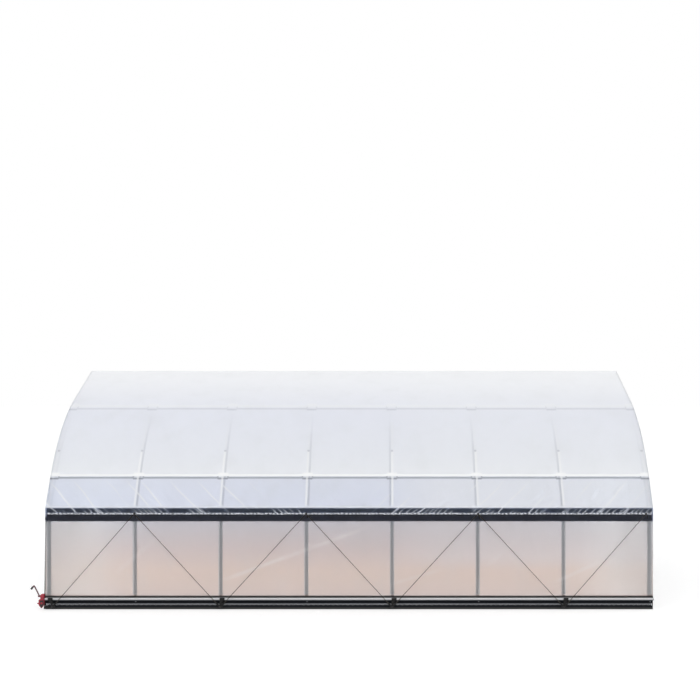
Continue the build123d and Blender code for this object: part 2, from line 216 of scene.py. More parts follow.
# Turned profiles: distance along the axis and radius
DOME_SCREW = [(0, 0.010), (0.0022, 0.0092), (0.004, 0.006), (0.0046, 0.0025)]
CHANNEL_SCREW = [(0, 0.0045), (0.0012, 0.0038), (0.0018, 0.0015)]
WORM_HOUSING = [(0, 0.010), (0.002, 0.018), (0.006, 0.021), (0.044, 0.021), (0.048, 0.018), (0.050, 0.010)]
GEAR_CAP = [(0, 0.017), (0.0024, 0.017), (0.0036, 0.014), (0.0038, 0.006)]
BOSS = [(0, 0.019), (0.004, 0.016), (BOSS_LENGTH + 0.002, 0.016)]
SHAFT = [
    (0, 0.008),
    (SHAFT_CAP, 0.008),
    (SHAFT_CAP + 0.0001, 0.012),
    (SHAFT_CAP + 0.0035, 0.012),
    (SHAFT_CAP + 0.004, 0.0105),
]
STUB = [(0, 0.014), (0.004, 0.010), (0.024, 0.010), (0.028, 0.008)]

# Doorways
DOOR_LINE = 0.6175
DOOR_HEADER_Z = 2.1175
DOOR_ROLL_RADIUS = 0.055
DOOR_ROLL_X = END_X + 0.0286 + DOOR_ROLL_RADIUS
DOOR_ROLL_Z = DOOR_HEADER_Z + 0.045
DOOR_ROLL_HALF = DOOR_LINE + 0.06
DOOR_ROLL_TURNS = 5
DOOR_ROLL_CORE = 0.019
DOOR_CRUMPLE = 0.0012
DOOR_POLE_RADIUS = 0.0165
DOOR_TIE_PLACES = (-0.42, 0.42)
DOOR_TIE_HALF_WIDTH = 0.013
DOOR_TIE_RADIUS = 0.0552
DOOR_TIE_THICKNESS = 0.0016

# Camera and light
CAMERA_PLACE = (0.53, -22.2, 4.0)
CAMERA_LENS = 64.6
CAMERA_SHIFT = (-0.0486, -0.0049)
SKY_LEVEL = 0.80
SUN_LEVEL = 0.78
SUN_SPREAD = 70
SUN_TILT = (40, -12, 0)
FLOOR_SIZE = 120.0
FLOOR_DROP = 0.002
FLOOR_TONE = 0.55

NEAR = 1
FAR = -1
SIDES = {"near": NEAR, "far": FAR}
ENDS = {"left": -1, "right": 1}
TURN = 2 * math.pi


# Meshes

def on_side(side, x, out, z):
    """Points along the near side, out from the middle plane and up, turned to the given side."""
    return np.stack(np.broadcast_arrays(side * x, -side * out, z), -1)


def make_piece(name, verts, faces, material, slot, body="root", smooth=True):
    """Mesh piece in the frame's coordinates that rides on a body."""
    mesh = bpy.data.meshes.new(name)
    mesh.from_pydata([tuple(v) for v in verts], [], faces)
    mesh.polygons.foreach_set("use_smooth", [smooth] * len(mesh.polygons))
    mesh.materials.append(MATERIALS[material])
    piece = bpy.data.objects.new(name, mesh)
    bpy.context.scene.collection.objects.link(piece)
    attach(piece, body)
    return piece


def directions_across(axis):
    """Two directions across an axis and across each other."""
    helper = np.array((0, 0, 1.0)) if abs(axis[2]) < 0.9 else np.array((1.0, 0, 0))
    across = np.cross(axis, helper)
    across /= np.linalg.norm(across)
    return across, np.cross(axis, across)


def circle(sides, across, up):
    """Points of a circle of radius one in the plane of two directions."""
    angles = np.arange(sides) * TURN / sides
    return np.outer(np.cos(angles), across) + np.outer(np.sin(angles), up)


def ring_faces(count, sides, closed):
    """Faces between rings of points, with capped ends unless the rings close on themselves."""
    faces = []
    for row in range(count if closed else count - 1):
        a, b = row * sides, (row + 1) % count * sides
        faces += [(a + k, a + (k + 1) % sides, b + (k + 1) % sides, b + k) for k in range(sides)]
    if not closed:
        faces.append(tuple(reversed(range(sides))))
        faces.append(tuple((count - 1) * sides + k for k in range(sides)))
    return faces


class Parts:
    """Collects vertices and faces of many small solids into one mesh."""

    def __init__(self):
        self.verts = []
        self.faces = []

    def add(self, verts, faces):
        start = len(self.verts)
        self.verts.extend(tuple(v) for v in verts)
        self.faces.extend([tuple(i + start for i in face) for face in faces])

    def tube(self, points, radius, sides=8, closed=False):
        """Round tube along points, with capped ends unless it closes on itself."""
        path = np.asarray(points, float)
        if closed:
            tangents = np.roll(path, -1, 0) - np.roll(path, 1, 0)
        else:
            tangents = np.gradient(path, axis=0)
        tangents /= np.linalg.norm(tangents, axis=1)[:, None]
        across, _ = directions_across(tangents[0])
        rings = []
        for point, tangent in zip(path, tangents):
            across = across - tangent * np.dot(across, tangent)
            across /= np.linalg.norm(across)
            rings.append(point + radius * circle(sides, across, np.cross(tangent, across)))
        self.add(np.concatenate(rings), ring_faces(len(path), sides, closed))

    def lathe(self, start, axis, profile, sides=16):
        """Turned solid from start along an axis, with a profile of (distance, radius)."""
        axis = np.asarray(axis, float) / np.linalg.norm(axis)
        ring = circle(sides, *directions_across(axis))
        rings = [np.asarray(start) + axis * distance + ring * radius for distance, radius in profile]
        self.add(np.concatenate(rings), ring_faces(len(profile), sides, closed=False))

    def hex_bolt(self, place, axis, radius, height):
        """Bolt head on a washer."""
        washer = 0.2 * height
        self.lathe(place, axis, [(0, 1.45 * radius), (washer, 1.45 * radius)], 14)
        top = np.asarray(place) + np.asarray(axis, float) * washer
        self.lathe(top, axis, [(0, radius), (0.75 * height, radius), (height - washer, 0.86 * radius)], 6)

    def piece(self, name, material, slot, body="root", smooth=True):
        return make_piece(name, self.verts, self.faces, material, slot, body, smooth)


def shell(points, thickness):
    """Closed thin sheet below a grid of points, as vertices and faces."""
    rows, columns = points.shape[:2]
    normals = np.cross(np.gradient(points, axis=1), np.gradient(points, axis=0))
    normals /= np.maximum(np.linalg.norm(normals, axis=2), 1e-9)[:, :, None]
    verts = np.concatenate([points.reshape(-1, 3), (points - normals * thickness).reshape(-1, 3)])
    lower = rows * columns
    index = np.arange(lower).reshape(rows, columns)
    quads = np.stack([index[:-1, :-1], index[:-1, 1:], index[1:, 1:], index[1:, :-1]], -1).reshape(-1, 4)
    rim = np.concatenate([index[0], index[1:, -1], index[-1, -2::-1], index[-2:0:-1, 0]])
    after = np.roll(rim, -1)
    walls = np.stack([after, rim, lower + rim, lower + after], -1)
    return verts, np.concatenate([quads, lower + quads[:, ::-1], walls]).tolist()


def rounded_path(corners, radii, step=0.004):
    """Points along a bent line with its corners rounded."""
    corners = [np.array(c, float) for c in corners]
    points = [corners[0]]
    for before, corner, after, radius in zip(corners, corners[1:], corners[2:], radii):
        back = (before - corner) / np.linalg.norm(before - corner)
        onward = (after - corner) / np.linalg.norm(after - corner)
        half = math.acos(np.dot(back, onward)) / 2
        run = radius / math.tan(half)
        middle = (back + onward) / np.linalg.norm(back + onward)
        centre = corner + middle * radius / math.sin(half)
        first, last = corner + back * run - centre, corner + onward * run - centre
        turn = math.pi - 2 * half
        count = max(4, int(turn * radius / step))
        for share in np.arange(count + 1) / count:
            weight_a = math.sin((1 - share) * turn) / math.sin(turn)
            weight_b = math.sin(share * turn) / math.sin(turn)
            points.append(centre + first * weight_a + last * weight_b)
    points.append(corners[-1])
    return np.array(points)


class Arch:
    """Line over the tunnel from the near foot to the far foot, measured by its own length."""

    def __init__(self, foot, leg_out, roof_out, eave_bend):
        knee, shoulder, ridge = (np.array(p) for p in (KNEE, SHOULDER, RIDGE))
        rise = (shoulder - knee) / np.linalg.norm(shoulder - knee)
        slope = (ridge - shoulder) / np.linalg.norm(ridge - shoulder)
        start = knee + roof_out * np.array((rise[1], -rise[0]))
        bend = shoulder + roof_out * np.array((slope[1], -slope[0]))
        leg = HALF_SPAN + leg_out
        eave = start + rise * (leg - start[0]) / rise[0]
        reach = np.linalg.solve(np.array([rise, -slope]).T, bend - start)[0]
        hip = start + rise * reach
        peak = hip + slope * hip[0] / -slope[0]
        near = [(-leg, foot), (-eave[0], eave[1]), (-hip[0], hip[1])]
        far = [(-y, z) for y, z in reversed(near)]
        bends = [eave_bend, SHOULDER_RADIUS + roof_out, RIDGE_RADIUS + roof_out]
        bends += [SHOULDER_RADIUS + roof_out, eave_bend]
        self.points = rounded_path(near + [(0, peak[1])] + far, bends)
        steps = np.linalg.norm(np.diff(self.points, axis=0), axis=1)
        self.places = np.concatenate([[0], np.cumsum(steps)])
        self.length = self.places[-1]
        self.half = len(self.points) // 2

    def on_line(self, places):
        return np.stack([np.interp(places, self.places, self.points[:, k]) for k in (0, 1)], -1)

    def at(self, places):
        """Across and height of places along the line, with the outward direction there."""
        places = np.asarray(places, float)
        run = self.on_line(places + ARCH_PROBE) - self.on_line(places - ARCH_PROBE)
        run /= np.linalg.norm(run, axis=-1)[..., None]
        return self.on_line(places), np.stack([-run[..., 1], run[..., 0]], -1)

    def place_at_height(self, height):
        """Place on the near side at a height."""
        return float(np.interp(height, self.points[: self.half, 1], self.places[: self.half]))

    def reach_at_height(self, heights):
        """How far out the line lies at heights."""
        return np.interp(heights, self.points[: self.half, 1], -self.points[: self.half, 0])

    def height_at_reach(self, reaches):
        """Height of the near half of the line at distances from the middle plane."""
        reach = -self.points[: self.half + 1, 0]
        order = np.argsort(reach, kind="stable")
        return np.interp(reaches, reach[order], self.points[: self.half + 1, 1][order])


# Materials

NOISE_LOW = 0.3
NOISE_HIGH = 0.7


class Field:
    """Value that varies over a surface, given by an output of a material's node, with arithmetic."""

    def __init__(self, shader, socket):
        self.shader = shader
        self.socket = socket

    def math(self, operation, *values):
        return self.shader.math(operation, self, *values)

    def __add__(self, other):
        return self.math("ADD", other)

    def __sub__(self, other):
        return self.math("SUBTRACT", other)

    def __rsub__(self, other):
        return self.shader.math("SUBTRACT", other, self)

    def __mul__(self, other):
        return self.math("MULTIPLY", other)

    def __truediv__(self, other):
        return self.math("DIVIDE", other)

    def __abs__(self):
        return self.math("ABSOLUTE")

    def most(self, other):
        return self.math("MAXIMUM", other)

    def span(self, low, high, to_low=0.0, to_high=1.0):
        """Value between low and high, mapped smoothly on another span."""
        inputs = {"Value": self, "From Min": low, "From Max": high, "To Min": to_low, "To Max": to_high}
        return self.shader.output("ShaderNodeMapRange", "Result", inputs, interpolation_type="SMOOTHSTEP")

    def spread(self, low, high):
        """Usual range of a noise, mapped smoothly on another."""
        return self.span(NOISE_LOW, NOISE_HIGH, low, high)


class Shader:
    """Node tree of one material with short calls for the nodes that it needs."""

    def __init__(self, name):
        self.material = bpy.data.materials.new(name)
        self.material.use_nodes = True
        self.tree = self.material.node_tree
        self.bsdf = self.tree.nodes["Principled BSDF"]
        self.coordinates = self.output("ShaderNodeTexCoord", "Object")

    def node(self, kind, inputs=None, **settings):
        made = self.tree.nodes.new(kind)
        for key, value in settings.items():
            setattr(made, key, value)
        for key, value in (inputs or {}).items():
            self.feed(made.inputs[key], value)
        return made

    def output(self, kind, name, inputs=None, **settings):
        return Field(self, self.node(kind, inputs, **settings).outputs[name])

    def feed(self, socket, value):
        """Link a field to a socket, or set the socket to a value."""
        if isinstance(value, Field):
            self.tree.links.new(value.socket, socket)
        elif socket.type == "RGBA" and len(value) == 3:
            socket.default_value = (*value, 1.0)
        else:
            socket.default_value = value

    def set(self, **inputs):
        """Feed the surface shader. Underscores in a name stand for spaces."""
        for key, value in inputs.items():
            self.feed(self.bsdf.inputs[key.replace("_", " ")], value)

    def stretched(self, scale):
        return self.output("ShaderNodeMapping", "Vector", {"Vector": self.coordinates, "Scale": scale})

    def axis(self, letter):
        return self.output("ShaderNodeSeparateXYZ", letter, {"Vector": self.coordinates})

    def noise(self, scale, detail=3.0, vector=None, roughness=0.55, distortion=0.0):
        inputs = {
            "Vector": vector or self.coordinates,
            "Scale": scale,
            "Detail": detail,
            "Roughness": roughness,
            "Distortion": distortion,
        }
        return self.output("ShaderNodeTexNoise", "Fac", inputs)

    def cells(self, scale):
        inputs = {"Vector": self.coordinates, "Scale": scale}
        colour = self.output("ShaderNodeTexVoronoi", "Color", inputs)
        return self.output("ShaderNodeSeparateXYZ", "X", {"Vector": colour})

    def math(self, operation, *values):
        made = self.node("ShaderNodeMath", operation=operation)
        for socket, value in zip(made.inputs, values):
            self.feed(socket, value)
        return Field(self, made.outputs[0])

    def ramp(self, value, stops):
        """Colour along stops of (place, colour)."""
        made = self.node("ShaderNodeValToRGB", {"Fac": value})
        elements = made.color_ramp.elements
        while len(elements) < len(stops):
            elements.new(0.5)
        for element, (place, colour) in zip(elements, stops):
            element.position = place
            element.color = (*colour, 1.0)
        return Field(self, made.outputs["Color"])

    def mottle(self, noise, low, high):
        """Colour that changes over the usual range of a noise."""
        return self.ramp(noise, [(NOISE_LOW, low), (NOISE_HIGH, high)])

    def mix(self, share, first, second):
        made = self.node("ShaderNodeMix", data_type="RGBA", blend_type="MIX")
        for index, value in ((0, share), (6, first), (7, second)):
            self.feed(made.inputs[index], value)
        return Field(self, made.outputs[2])

    def bump(self, height, strength, distance):
        inputs = {"Height": height, "Strength": strength, "Distance": distance}
        self.set(Normal=self.output("ShaderNodeBump", "Normal", inputs))


def galvanised(name, dull, bright, roughness, painted_shade_below_hip=0.0):
    """Zinc-coated steel with spangle, dull patches and fine scuffs, with painted shade that darkens it below
    the hips.
    """
    shader = Shader(name)
    patches = shader.noise(9.0, detail=5.0)
    zinc = shader.ramp(shader.cells(70.0) * 0.45 + patches * 0.55, [(0.2, dull), (0.75, bright)])
    # Painted shade: darker below the hips, as the posts stand in shade behind the curtains.
    shaded_below_hip = shader.axis("Z").span(KNEE[1] - 0.1, KNEE[1], painted_shade_below_hip, 0.0)
    shader.set(
        Base_Color=shader.mix(shaded_below_hip, zinc, (0.09, 0.105, 0.13)),
        Metallic=0.75,
        Roughness=patches.spread(roughness - 0.08, roughness + 0.1),
    )
    shader.bump(shader.noise(420.0), 0.12, 0.0006)
    return shader.material


def pole_material():
    """Dull steel pole with darker foot and brackets."""
    shader = Shader("pole_steel")
    patches = shader.noise(30.0, detail=5.0)
    plate = abs(shader.axis("Y")).span(BOARD_OUTER - 0.006, BOARD_OUTER - 0.004)
    foot = shader.axis("Z").span(0.046, 0.052, 1.0, 0.0)
    steel = shader.mottle(patches, (0.06, 0.06, 0.06), (0.15, 0.15, 0.15))
    shader.set(
        Base_Color=shader.mix(plate.most(foot), steel, (0.018, 0.018, 0.019)),
        Metallic=0.5,
        Roughness=patches.spread(0.45, 0.65),
    )
    shader.bump(shader.noise(300.0), 0.15, 0.0006)
    return shader.material


def painted(name, base, worn, roughness):
    """Thick paint over a casting, worn to a duller tone in patches."""
    shader = Shader(name)
    wear = shader.noise(32.0, detail=6.0, roughness=0.7)
    shader.set(
        Base_Color=shader.ramp(wear, [(0.42, base), (0.62, worn)]),
        Roughness=wear.spread(roughness, roughness + 0.2),
        Coat_Weight=0.15,
    )
    shader.bump(shader.noise(320.0, detail=4.0), 0.25, 0.0008)
    return shader.material


def timber():
    """Dark stained sawn board with grain along the tunnel and dust along the ground."""
    shader = Shader("dark_board")
    grain = shader.noise(6.0, detail=8.0, vector=shader.stretched((0.9, 30.0, 30.0)), roughness=0.65)
    stains = shader.noise(2.2, detail=4.0).span(0.5, 0.75, 0.0, 0.35)
    tone = shader.ramp(grain, [(0.3, (0.004, 0.005, 0.007)), (0.62, (0.014, 0.016, 0.020))])
    tone = shader.mix(stains, tone, (0.024, 0.025, 0.026))
    dusty = shader.axis("Z").span(0.022, 0.036, 0.9, 0.0)
    shader.set(
        Base_Color=shader.mix(dusty, tone, (0.060, 0.061, 0.060)),
        Roughness=grain.spread(0.6, 0.8),
        Specular_IOR_Level=0.08,
    )
    shader.bump(grain, 0.35, 0.002)
    return shader.material


def matt(name, low, high, roughness, scale):
    """Dull moulded or woven surface with a fine grain."""
    shader = Shader(name)
    grain = shader.noise(scale, detail=5.0, roughness=0.65)
    shader.set(
        Base_Color=shader.mottle(grain, low, high),
        Roughness=grain.spread(roughness - 0.1, roughness + 0.1),
    )
    shader.bump(grain, 0.3, 0.0008)
    return shader.material


# Tints and clearness of the film by height above the ground
# The roof's tints are darker at the eaves and palest near the ridge: painted light from the sky above.
ROOF_TINTS = [
    (1.46, (0.46, 0.54, 0.72)),
    (1.540, (0.46, 0.54, 0.72)),
    (1.548, (0.86, 0.90, 1.0)),
    (1.95, (0.88, 0.915, 1.0)),
    (2.05, (0.945, 0.965, 1.0)),
    (2.25, (0.935, 0.955, 1.0)),
    (2.90, (0.915, 0.935, 1.0)),
    (3.50, (0.965, 0.975, 1.0)),
]
ROOF_CLEAR = [
    (1.46, 0.97),
    (1.54, 0.96),
    (1.548, 0.48),
    (1.98, 0.45),
    (2.05, 0.26),
    (2.30, 0.32),
    (2.90, 0.32),
    (3.40, 0.16),
]
# From 0.148 to 0.203 up, the curtain's tints are painted light: painted shade under the roll, a painted
# highlight along its top, kept nearly opaque in CURTAIN_CLEAR, and painted shade in the gap above it.
CURTAIN_TINTS = [
    (0.148, (0.10, 0.11, 0.13)),
    (0.160, (0.97, 0.98, 1.0)),
    (0.174, (0.98, 0.99, 1.0)),
    (0.184, (0.16, 0.155, 0.16)),
    (0.203, (0.16, 0.155, 0.16)),
    (0.212, (0.88, 0.78, 0.75)),
    (0.25, (0.88, 0.765, 0.72)),
    (0.45, (0.905, 0.78, 0.72)),
    (0.60, (0.925, 0.795, 0.735)),
    (0.90, (0.89, 0.80, 0.79)),
    (1.30, (0.84, 0.84, 0.89)),
    (1.33, (0.84, 0.84, 0.89)),
    (1.36, (0.40, 0.43, 0.58)),
    (1.44, (0.40, 0.43, 0.58)),
]
CURTAIN_CLEAR = [
    (0.148, 0.4),
    (0.160, 0.05),
    (0.174, 0.05),
    (0.184, 0.97),
    (0.203, 0.97),
    (0.212, 0.74),
    (1.31, 0.78),
    (1.35, 0.98),
    (1.45, 0.98),
]
END_TINTS = [
    (0.00, (0.97, 0.94, 0.93)),
    (1.20, (0.97, 0.96, 0.96)),
    (2.20, (0.97, 0.975, 0.99)),
    (3.40, (0.98, 0.985, 1.0)),
]
END_CLEAR = [(0.0, 0.88), (3.4, 0.66)]

# Creases of the roof film: spacing, width, top, strength of their painted highlight and how much of them is
# missing
CREASE_KINDS = [
    (0.085, 0.015, 1.60, 0.85, 0.47),
    (0.36, 0.022, 1.97, 0.66, 0.485),
]
CREASE_SLANT = -1.1
CREASE_BEND = 0.16
CREASE_FADE = 0.16
CREASE_BREAK = 0.12
END_CREASES = 0.06
FAR_CREASES = 0.06

# Purlin lines of the roof film: height of the painted shade, strength of the painted highlight above it, of
# the painted shade and of the painted shade at the clamps
PURLIN_LINES = [
    (LOWER_PURLIN_HEIGHT - 0.013, 1.0, 0.75, 0.85),
    (UPPER_PURLIN_HEIGHT - 0.008, 0.4, 0.24, 0.30),
]
HIGHLIGHT_RISE = 0.039
CLAMP_HIGHLIGHT_RISE = 0.051
CLAMP_END = 0.078
CLAMP_DROP = 0.010
CLAMP_SHADE_RISE = 0.014
CLAMP_SHADE_RADII = (0.016, 0.034)
JOINT_PLACE = (0.006, SPLICE_HEIGHT)
JOINT_RADII = (0.020, 0.018)
HIP_HIGHLIGHT_HEIGHT = HIP_BOARD_TOP + 0.018


def film(name, tints, clears):
    """Shader of diffusing plastic film, with its tint and clearness by height up to the ridge."""
    shader = Shader(name)
    height = shader.axis("Z") / RIDGE[1]
    tint = shader.ramp(height, [(z / RIDGE[1], colour) for z, colour in tints])
    clear = shader.ramp(height, [(z / RIDGE[1], (share, share, share)) for z, share in clears])
    clear = shader.output("ShaderNodeSeparateColor", "Red", {"Color": clear})
    dust = shader.noise(3.0, detail=6.0, vector=shader.stretched((1.0, 1.0, 0.5))).span(0.45, 0.75, 0.0, 0.14)
    creases = shader.noise(16.0, detail=5.0, vector=shader.stretched((1.0, 1.0, 0.35)), distortion=0.8)
    shader.set(Roughness=creases.spread(FILM_ROUGHNESS - 0.05, FILM_ROUGHNESS + 0.08), IOR=FILM_IOR)
    shader.bump(creases, 0.22, 0.004)
    return shader, shader.mix(dust, tint, (0.74, 0.76, 0.77)), clear


def from_winch(shader):
    """Place along either side, rising away from its winch."""
    return shader.axis("X") * (shader.axis("Y").math("SIGN") * -1.0)


def beside_hoops(along):
    """Distance along the tunnel to the nearest hoop."""
    return (along - HOOP_X[0]).math("PINGPONG", BAY / 2)


def slanted_creases(shader, along, height):
    """Share of painted highlights along creases that slant down towards the tunnel's middle, near and above
    the hips.
    """
    off_middle = abs(along)
    slant = height * CREASE_SLANT + off_middle + shader.noise(1.6, detail=1.0) * CREASE_BEND
    more = off_middle.span(2.9, 4.1, 0.0, END_CREASES) + from_winch(shader).span(0.5, 2.0, 0.0, FAR_CREASES)
    kinds = []
    for spacing, width, top, highlight_strength, gaps in CREASE_KINDS:
        edges = shader.output(
            "ShaderNodeTexVoronoi",
            "Distance",
            {"W": slant / spacing, "Scale": 1.0},
            voronoi_dimensions="1D",
            feature="DISTANCE_TO_EDGE",
        )
        lines = edges.span(0.3 * width / spacing, width / spacing, 1.0, 0.0)
        patches = shader.noise(0.25 / spacing, detail=1.0) + more
        fading = height.span(top - CREASE_FADE, top, highlight_strength, 0.0)
        kinds.append(lines * patches.span(gaps, gaps + CREASE_BREAK) * fading)
    return reduce(Field.most, kinds) * off_middle.span(0.25, 0.60)


def round_spot(beside, height, centre, radii):
    """Share of a soft round spot beside the hoops, with its radii along and up."""
    along = (beside - centre[0]) / radii[0]
    up = (height - centre[1]) / radii[1]
    return (along * along + up * up).span(0.35, 1.0, 1.0, 0.0)


def stripe(value, middle, inner, outer, share):
    """Share of a soft stripe round a middle value, full to its inner half width and gone at its outer one."""
    return abs(value - middle).span(inner, outer, share, 0.0)


def hoop_lines(along, height):
    """Painted highlight on the outer side of every hoop and painted shade on its inner side, fading upwards.
    """
    outward = (along - HOOP_X[0]).math("WRAP", BAY / 2, -BAY / 2) * along.math("SIGN")
    off_end = abs(along).span(END_X - 0.2, END_X - 0.1, 1.0, 0.25)
    above_hip = off_end * height.span(HIP_BOARD_TOP, HIP_BOARD_TOP + 0.06)
    highlight_height = height.span(SPLICE_HEIGHT - 0.03, SPLICE_HEIGHT + 0.03, 1.0, 0.25)
    highlight_height = highlight_height * height.span(2.5, 3.0, 0.9, 0.0)
    shade_height = height.span(1.9, 2.3, 1.0, 0.7) * height.span(2.3, 3.0, 1.0, 0.0)
    # Painted highlight and painted shade of the hoops under the film, mirrored about the tunnel's middle.
    highlight = stripe(outward, 0.006, 0.008, 0.024, 0.75) * highlight_height
    shade = stripe(outward, -0.030, 0.006, 0.024, 0.30) * shade_height
    return highlight * above_hip, shade * above_hip


def film_with_painted_highlights(shader, tint, clear, highlight, highlight_tint, highlight_clear):
    """Film material with painted highlights: paler and less clear where their share says so."""
    shader.set(
        Base_Color=shader.mix(highlight, tint, highlight_tint),
        Transmission_Weight=clear * highlight.span(0.0, 1.0, 1.0, highlight_clear),
    )
    return shader.material


def roof_film_material():
    """Roof film with painted highlights and painted shade along the pipes under it and painted highlights
    along its creases above the hips.
    """
    shader, tint, clear = film("roof_film", ROOF_TINTS, ROOF_CLEAR)
    along, height = shader.axis("X"), shader.axis("Z")
    beside = beside_hoops(along)
    highlight, shade = hoop_lines(along, height)
    at_clamp = beside.span(CLAMP_END - 0.008, CLAMP_END + 0.012, 1.0, 0.0)
    raised = at_clamp * CLAMP_DROP + height
    # Painted highlight on top of each purlin and painted shade under it, with painted shade at the ends of
    # the clamps.
    for line, highlight_share, dark_share, clamp_share in PURLIN_LINES:
        highlight = highlight.most(stripe(height, line + HIGHLIGHT_RISE, 0.009, 0.021, highlight_share))
        highlight = highlight.most(stripe(height, line + CLAMP_HIGHLIGHT_RISE, 0.018, 0.032, highlight_share) * at_clamp)
        shade = shade.most(stripe(raised, line, 0.004, 0.017, dark_share))
        shade = shade.most(stripe(raised, line, 0.004, 0.020, clamp_share) * at_clamp)
        clamp_end_shade = round_spot(beside, height, (CLAMP_END, line + CLAMP_SHADE_RISE), CLAMP_SHADE_RADII)
        shade = shade.most(clamp_end_shade * (0.6 * clamp_share))
    joint = round_spot(beside, height, JOINT_PLACE, JOINT_RADII)
    shade = shade.most(joint * 0.32)
    # Painted highlights along the creases.
    highlight = (highlight * (1.0 - joint)).most(slanted_creases(shader, along, height))
    # Painted highlight along the film just above the hip board's top.
    highlight = highlight.most(stripe(height, HIP_HIGHLIGHT_HEIGHT, 0.006, 0.016, 0.5))
    # Paler away from the winch's end.
    paler_away_from_winch = from_winch(shader).span(0.3, 1.5, 0.0, 0.5) * height.span(HIP_BOARD_TOP, HIP_BOARD_TOP + 0.02)
    tint = shader.mix(paler_away_from_winch * height.span(1.9, 2.0, 1.0, 0.4), tint, (0.97, 0.985, 1.0))
    # Colour of the painted shade along the hoops, purlins, clamps and joints.
    tint = shader.mix(shade, tint, (0.36, 0.38, 0.44))
    return film_with_painted_highlights(shader, tint, clear, highlight, (0.98, 0.99, 1.0), 0.12)


def curtain_material():
    """Curtain film, paler towards the tunnel's ends and away from its winch, with grey painted shade where it
    lies on the posts and painted highlights along its folds.
    """
    shader, tint, clear = film("curtain_film", CURTAIN_TINTS, CURTAIN_CLEAR)
    along, height = shader.axis("X"), shader.axis("Z")
    on_sheet = height.span(0.21, 0.24) * height.span(1.32, 1.35, 1.0, 0.0)
    near_end = abs(along).span(3.2, 4.3, 0.0, 0.55) * on_sheet
    # Paler away from the winch's end.
    paler_away_from_winch = from_winch(shader).span(0.3, 1.5, 0.0, 0.35) * on_sheet * height.span(0.55, 0.85)
    # Painted shade where the curtain lies on a post.
    post_shade = beside_hoops(along).span(0.024, 0.040, 0.75, 0.0) * on_sheet
    tint = shader.mix(near_end, tint, (0.96, 0.94, 0.93))
    tint = shader.mix(paler_away_from_winch, tint, (0.97, 0.965, 0.99))
    tint = shader.mix(post_shade, tint, (0.68, 0.70, 0.72))
    return film_with_painted_highlights(shader, tint, clear, fold_highlights(shader, height), (1.0, 0.97, 0.96), 0.4)


def end_film_material():
    """Film of the end walls and the doors."""
    shader, tint, clear = film("end_film", END_TINTS, END_CLEAR)
    shader.set(Base_Color=tint, Transmission_Weight=clear)
    return shader.material


def fold_highlights(shader, height):
    """Painted highlights along the long folds of the curtains, softly broken."""
    along = from_winch(shader)
    broken = shader.noise(2.4, detail=2.0).span(0.30, 0.55, 0.35, 1.0)
    streaks = []
    for start, stop, _, width, highlight_strength in CURTAIN_FOLDS:
        length = math.dist(start, stop)
        run = ((stop[0] - start[0]) / length, (stop[1] - start[1]) / length)
        x, z = along - start[0], height - start[1]
        place = x * run[0] + z * run[1]
        off = x * -run[1] + z * run[0]
        # Painted highlight along one fold.
        streak = abs(off).span(0.3 * width, 1.5 * width, highlight_strength, 0.0)
        streaks.append(streak * stripe(place, length / 2, 0.30 * length, 0.5 * length, 1.0) * broken)
    return reduce(Field.most, streaks)


def channel_material():
    """Mill-finish channel, with the white tail of the end film folded over the arch channels."""
    shader = Shader("lock_channel")
    lines = shader.noise(8.0, detail=6.0, vector=shader.stretched((0.6, 60.0, 60.0)))
    over_end = abs(shader.axis("X")).span(END_X + 0.0275, END_X + 0.0285)
    # Darker below the middle of the base channel's face.
    darker_below_middle = shader.axis("Z").span(BASE_CHANNEL_Z - 0.008, BASE_CHANNEL_Z, 0.9, 0.0)
    metal = shader.mottle(lines, (0.13, 0.135, 0.145), (0.24, 0.25, 0.27))
    metal = shader.mix(darker_below_middle, metal, (0.022, 0.022, 0.022))
    shader.set(
        Base_Color=shader.mix(over_end, metal, (0.88, 0.90, 0.93)),
        Metallic=0.9 - over_end * 0.9,
        Roughness=lines.spread(0.35, 0.5),
    )
    shader.bump(lines, 0.1, 0.0006)
    return shader.material


def tail_material():
    """Crumpled free edge of the film, with bright patches, partly thicker crumpled film and partly painted
    highlight, and clear patches in waves along the hips.
    """
    shader = Shader("film_tail")
    along = shader.axis("X")
    on_arch = abs(along).span(BOARD_REACH - 0.004, BOARD_REACH)
    wave = (along * (TURN / TAIL_WAVE)).math("SINE") * on_arch.span(0.0, 1.0, 0.09, 0.0)
    crumple = shader.noise(55.0, detail=2.0, distortion=0.6) + wave
    # Bright patches are partly thicker crumpled film and partly painted highlight.
    tone = shader.ramp(crumple, [(0.40, (0.50, 0.54, 0.61)), (0.58, (0.92, 0.95, 1.0))])
    shader.set(
        Base_Color=shader.mix(on_arch, tone, (0.97, 0.98, 1.0)),
        Roughness=0.28,
        IOR=FILM_IOR,
        Transmission_Weight=crumple.span(0.40, 0.56, 0.90, 0.20),
    )
    shader.bump(crumple, 0.6, 0.006)
    return shader.material


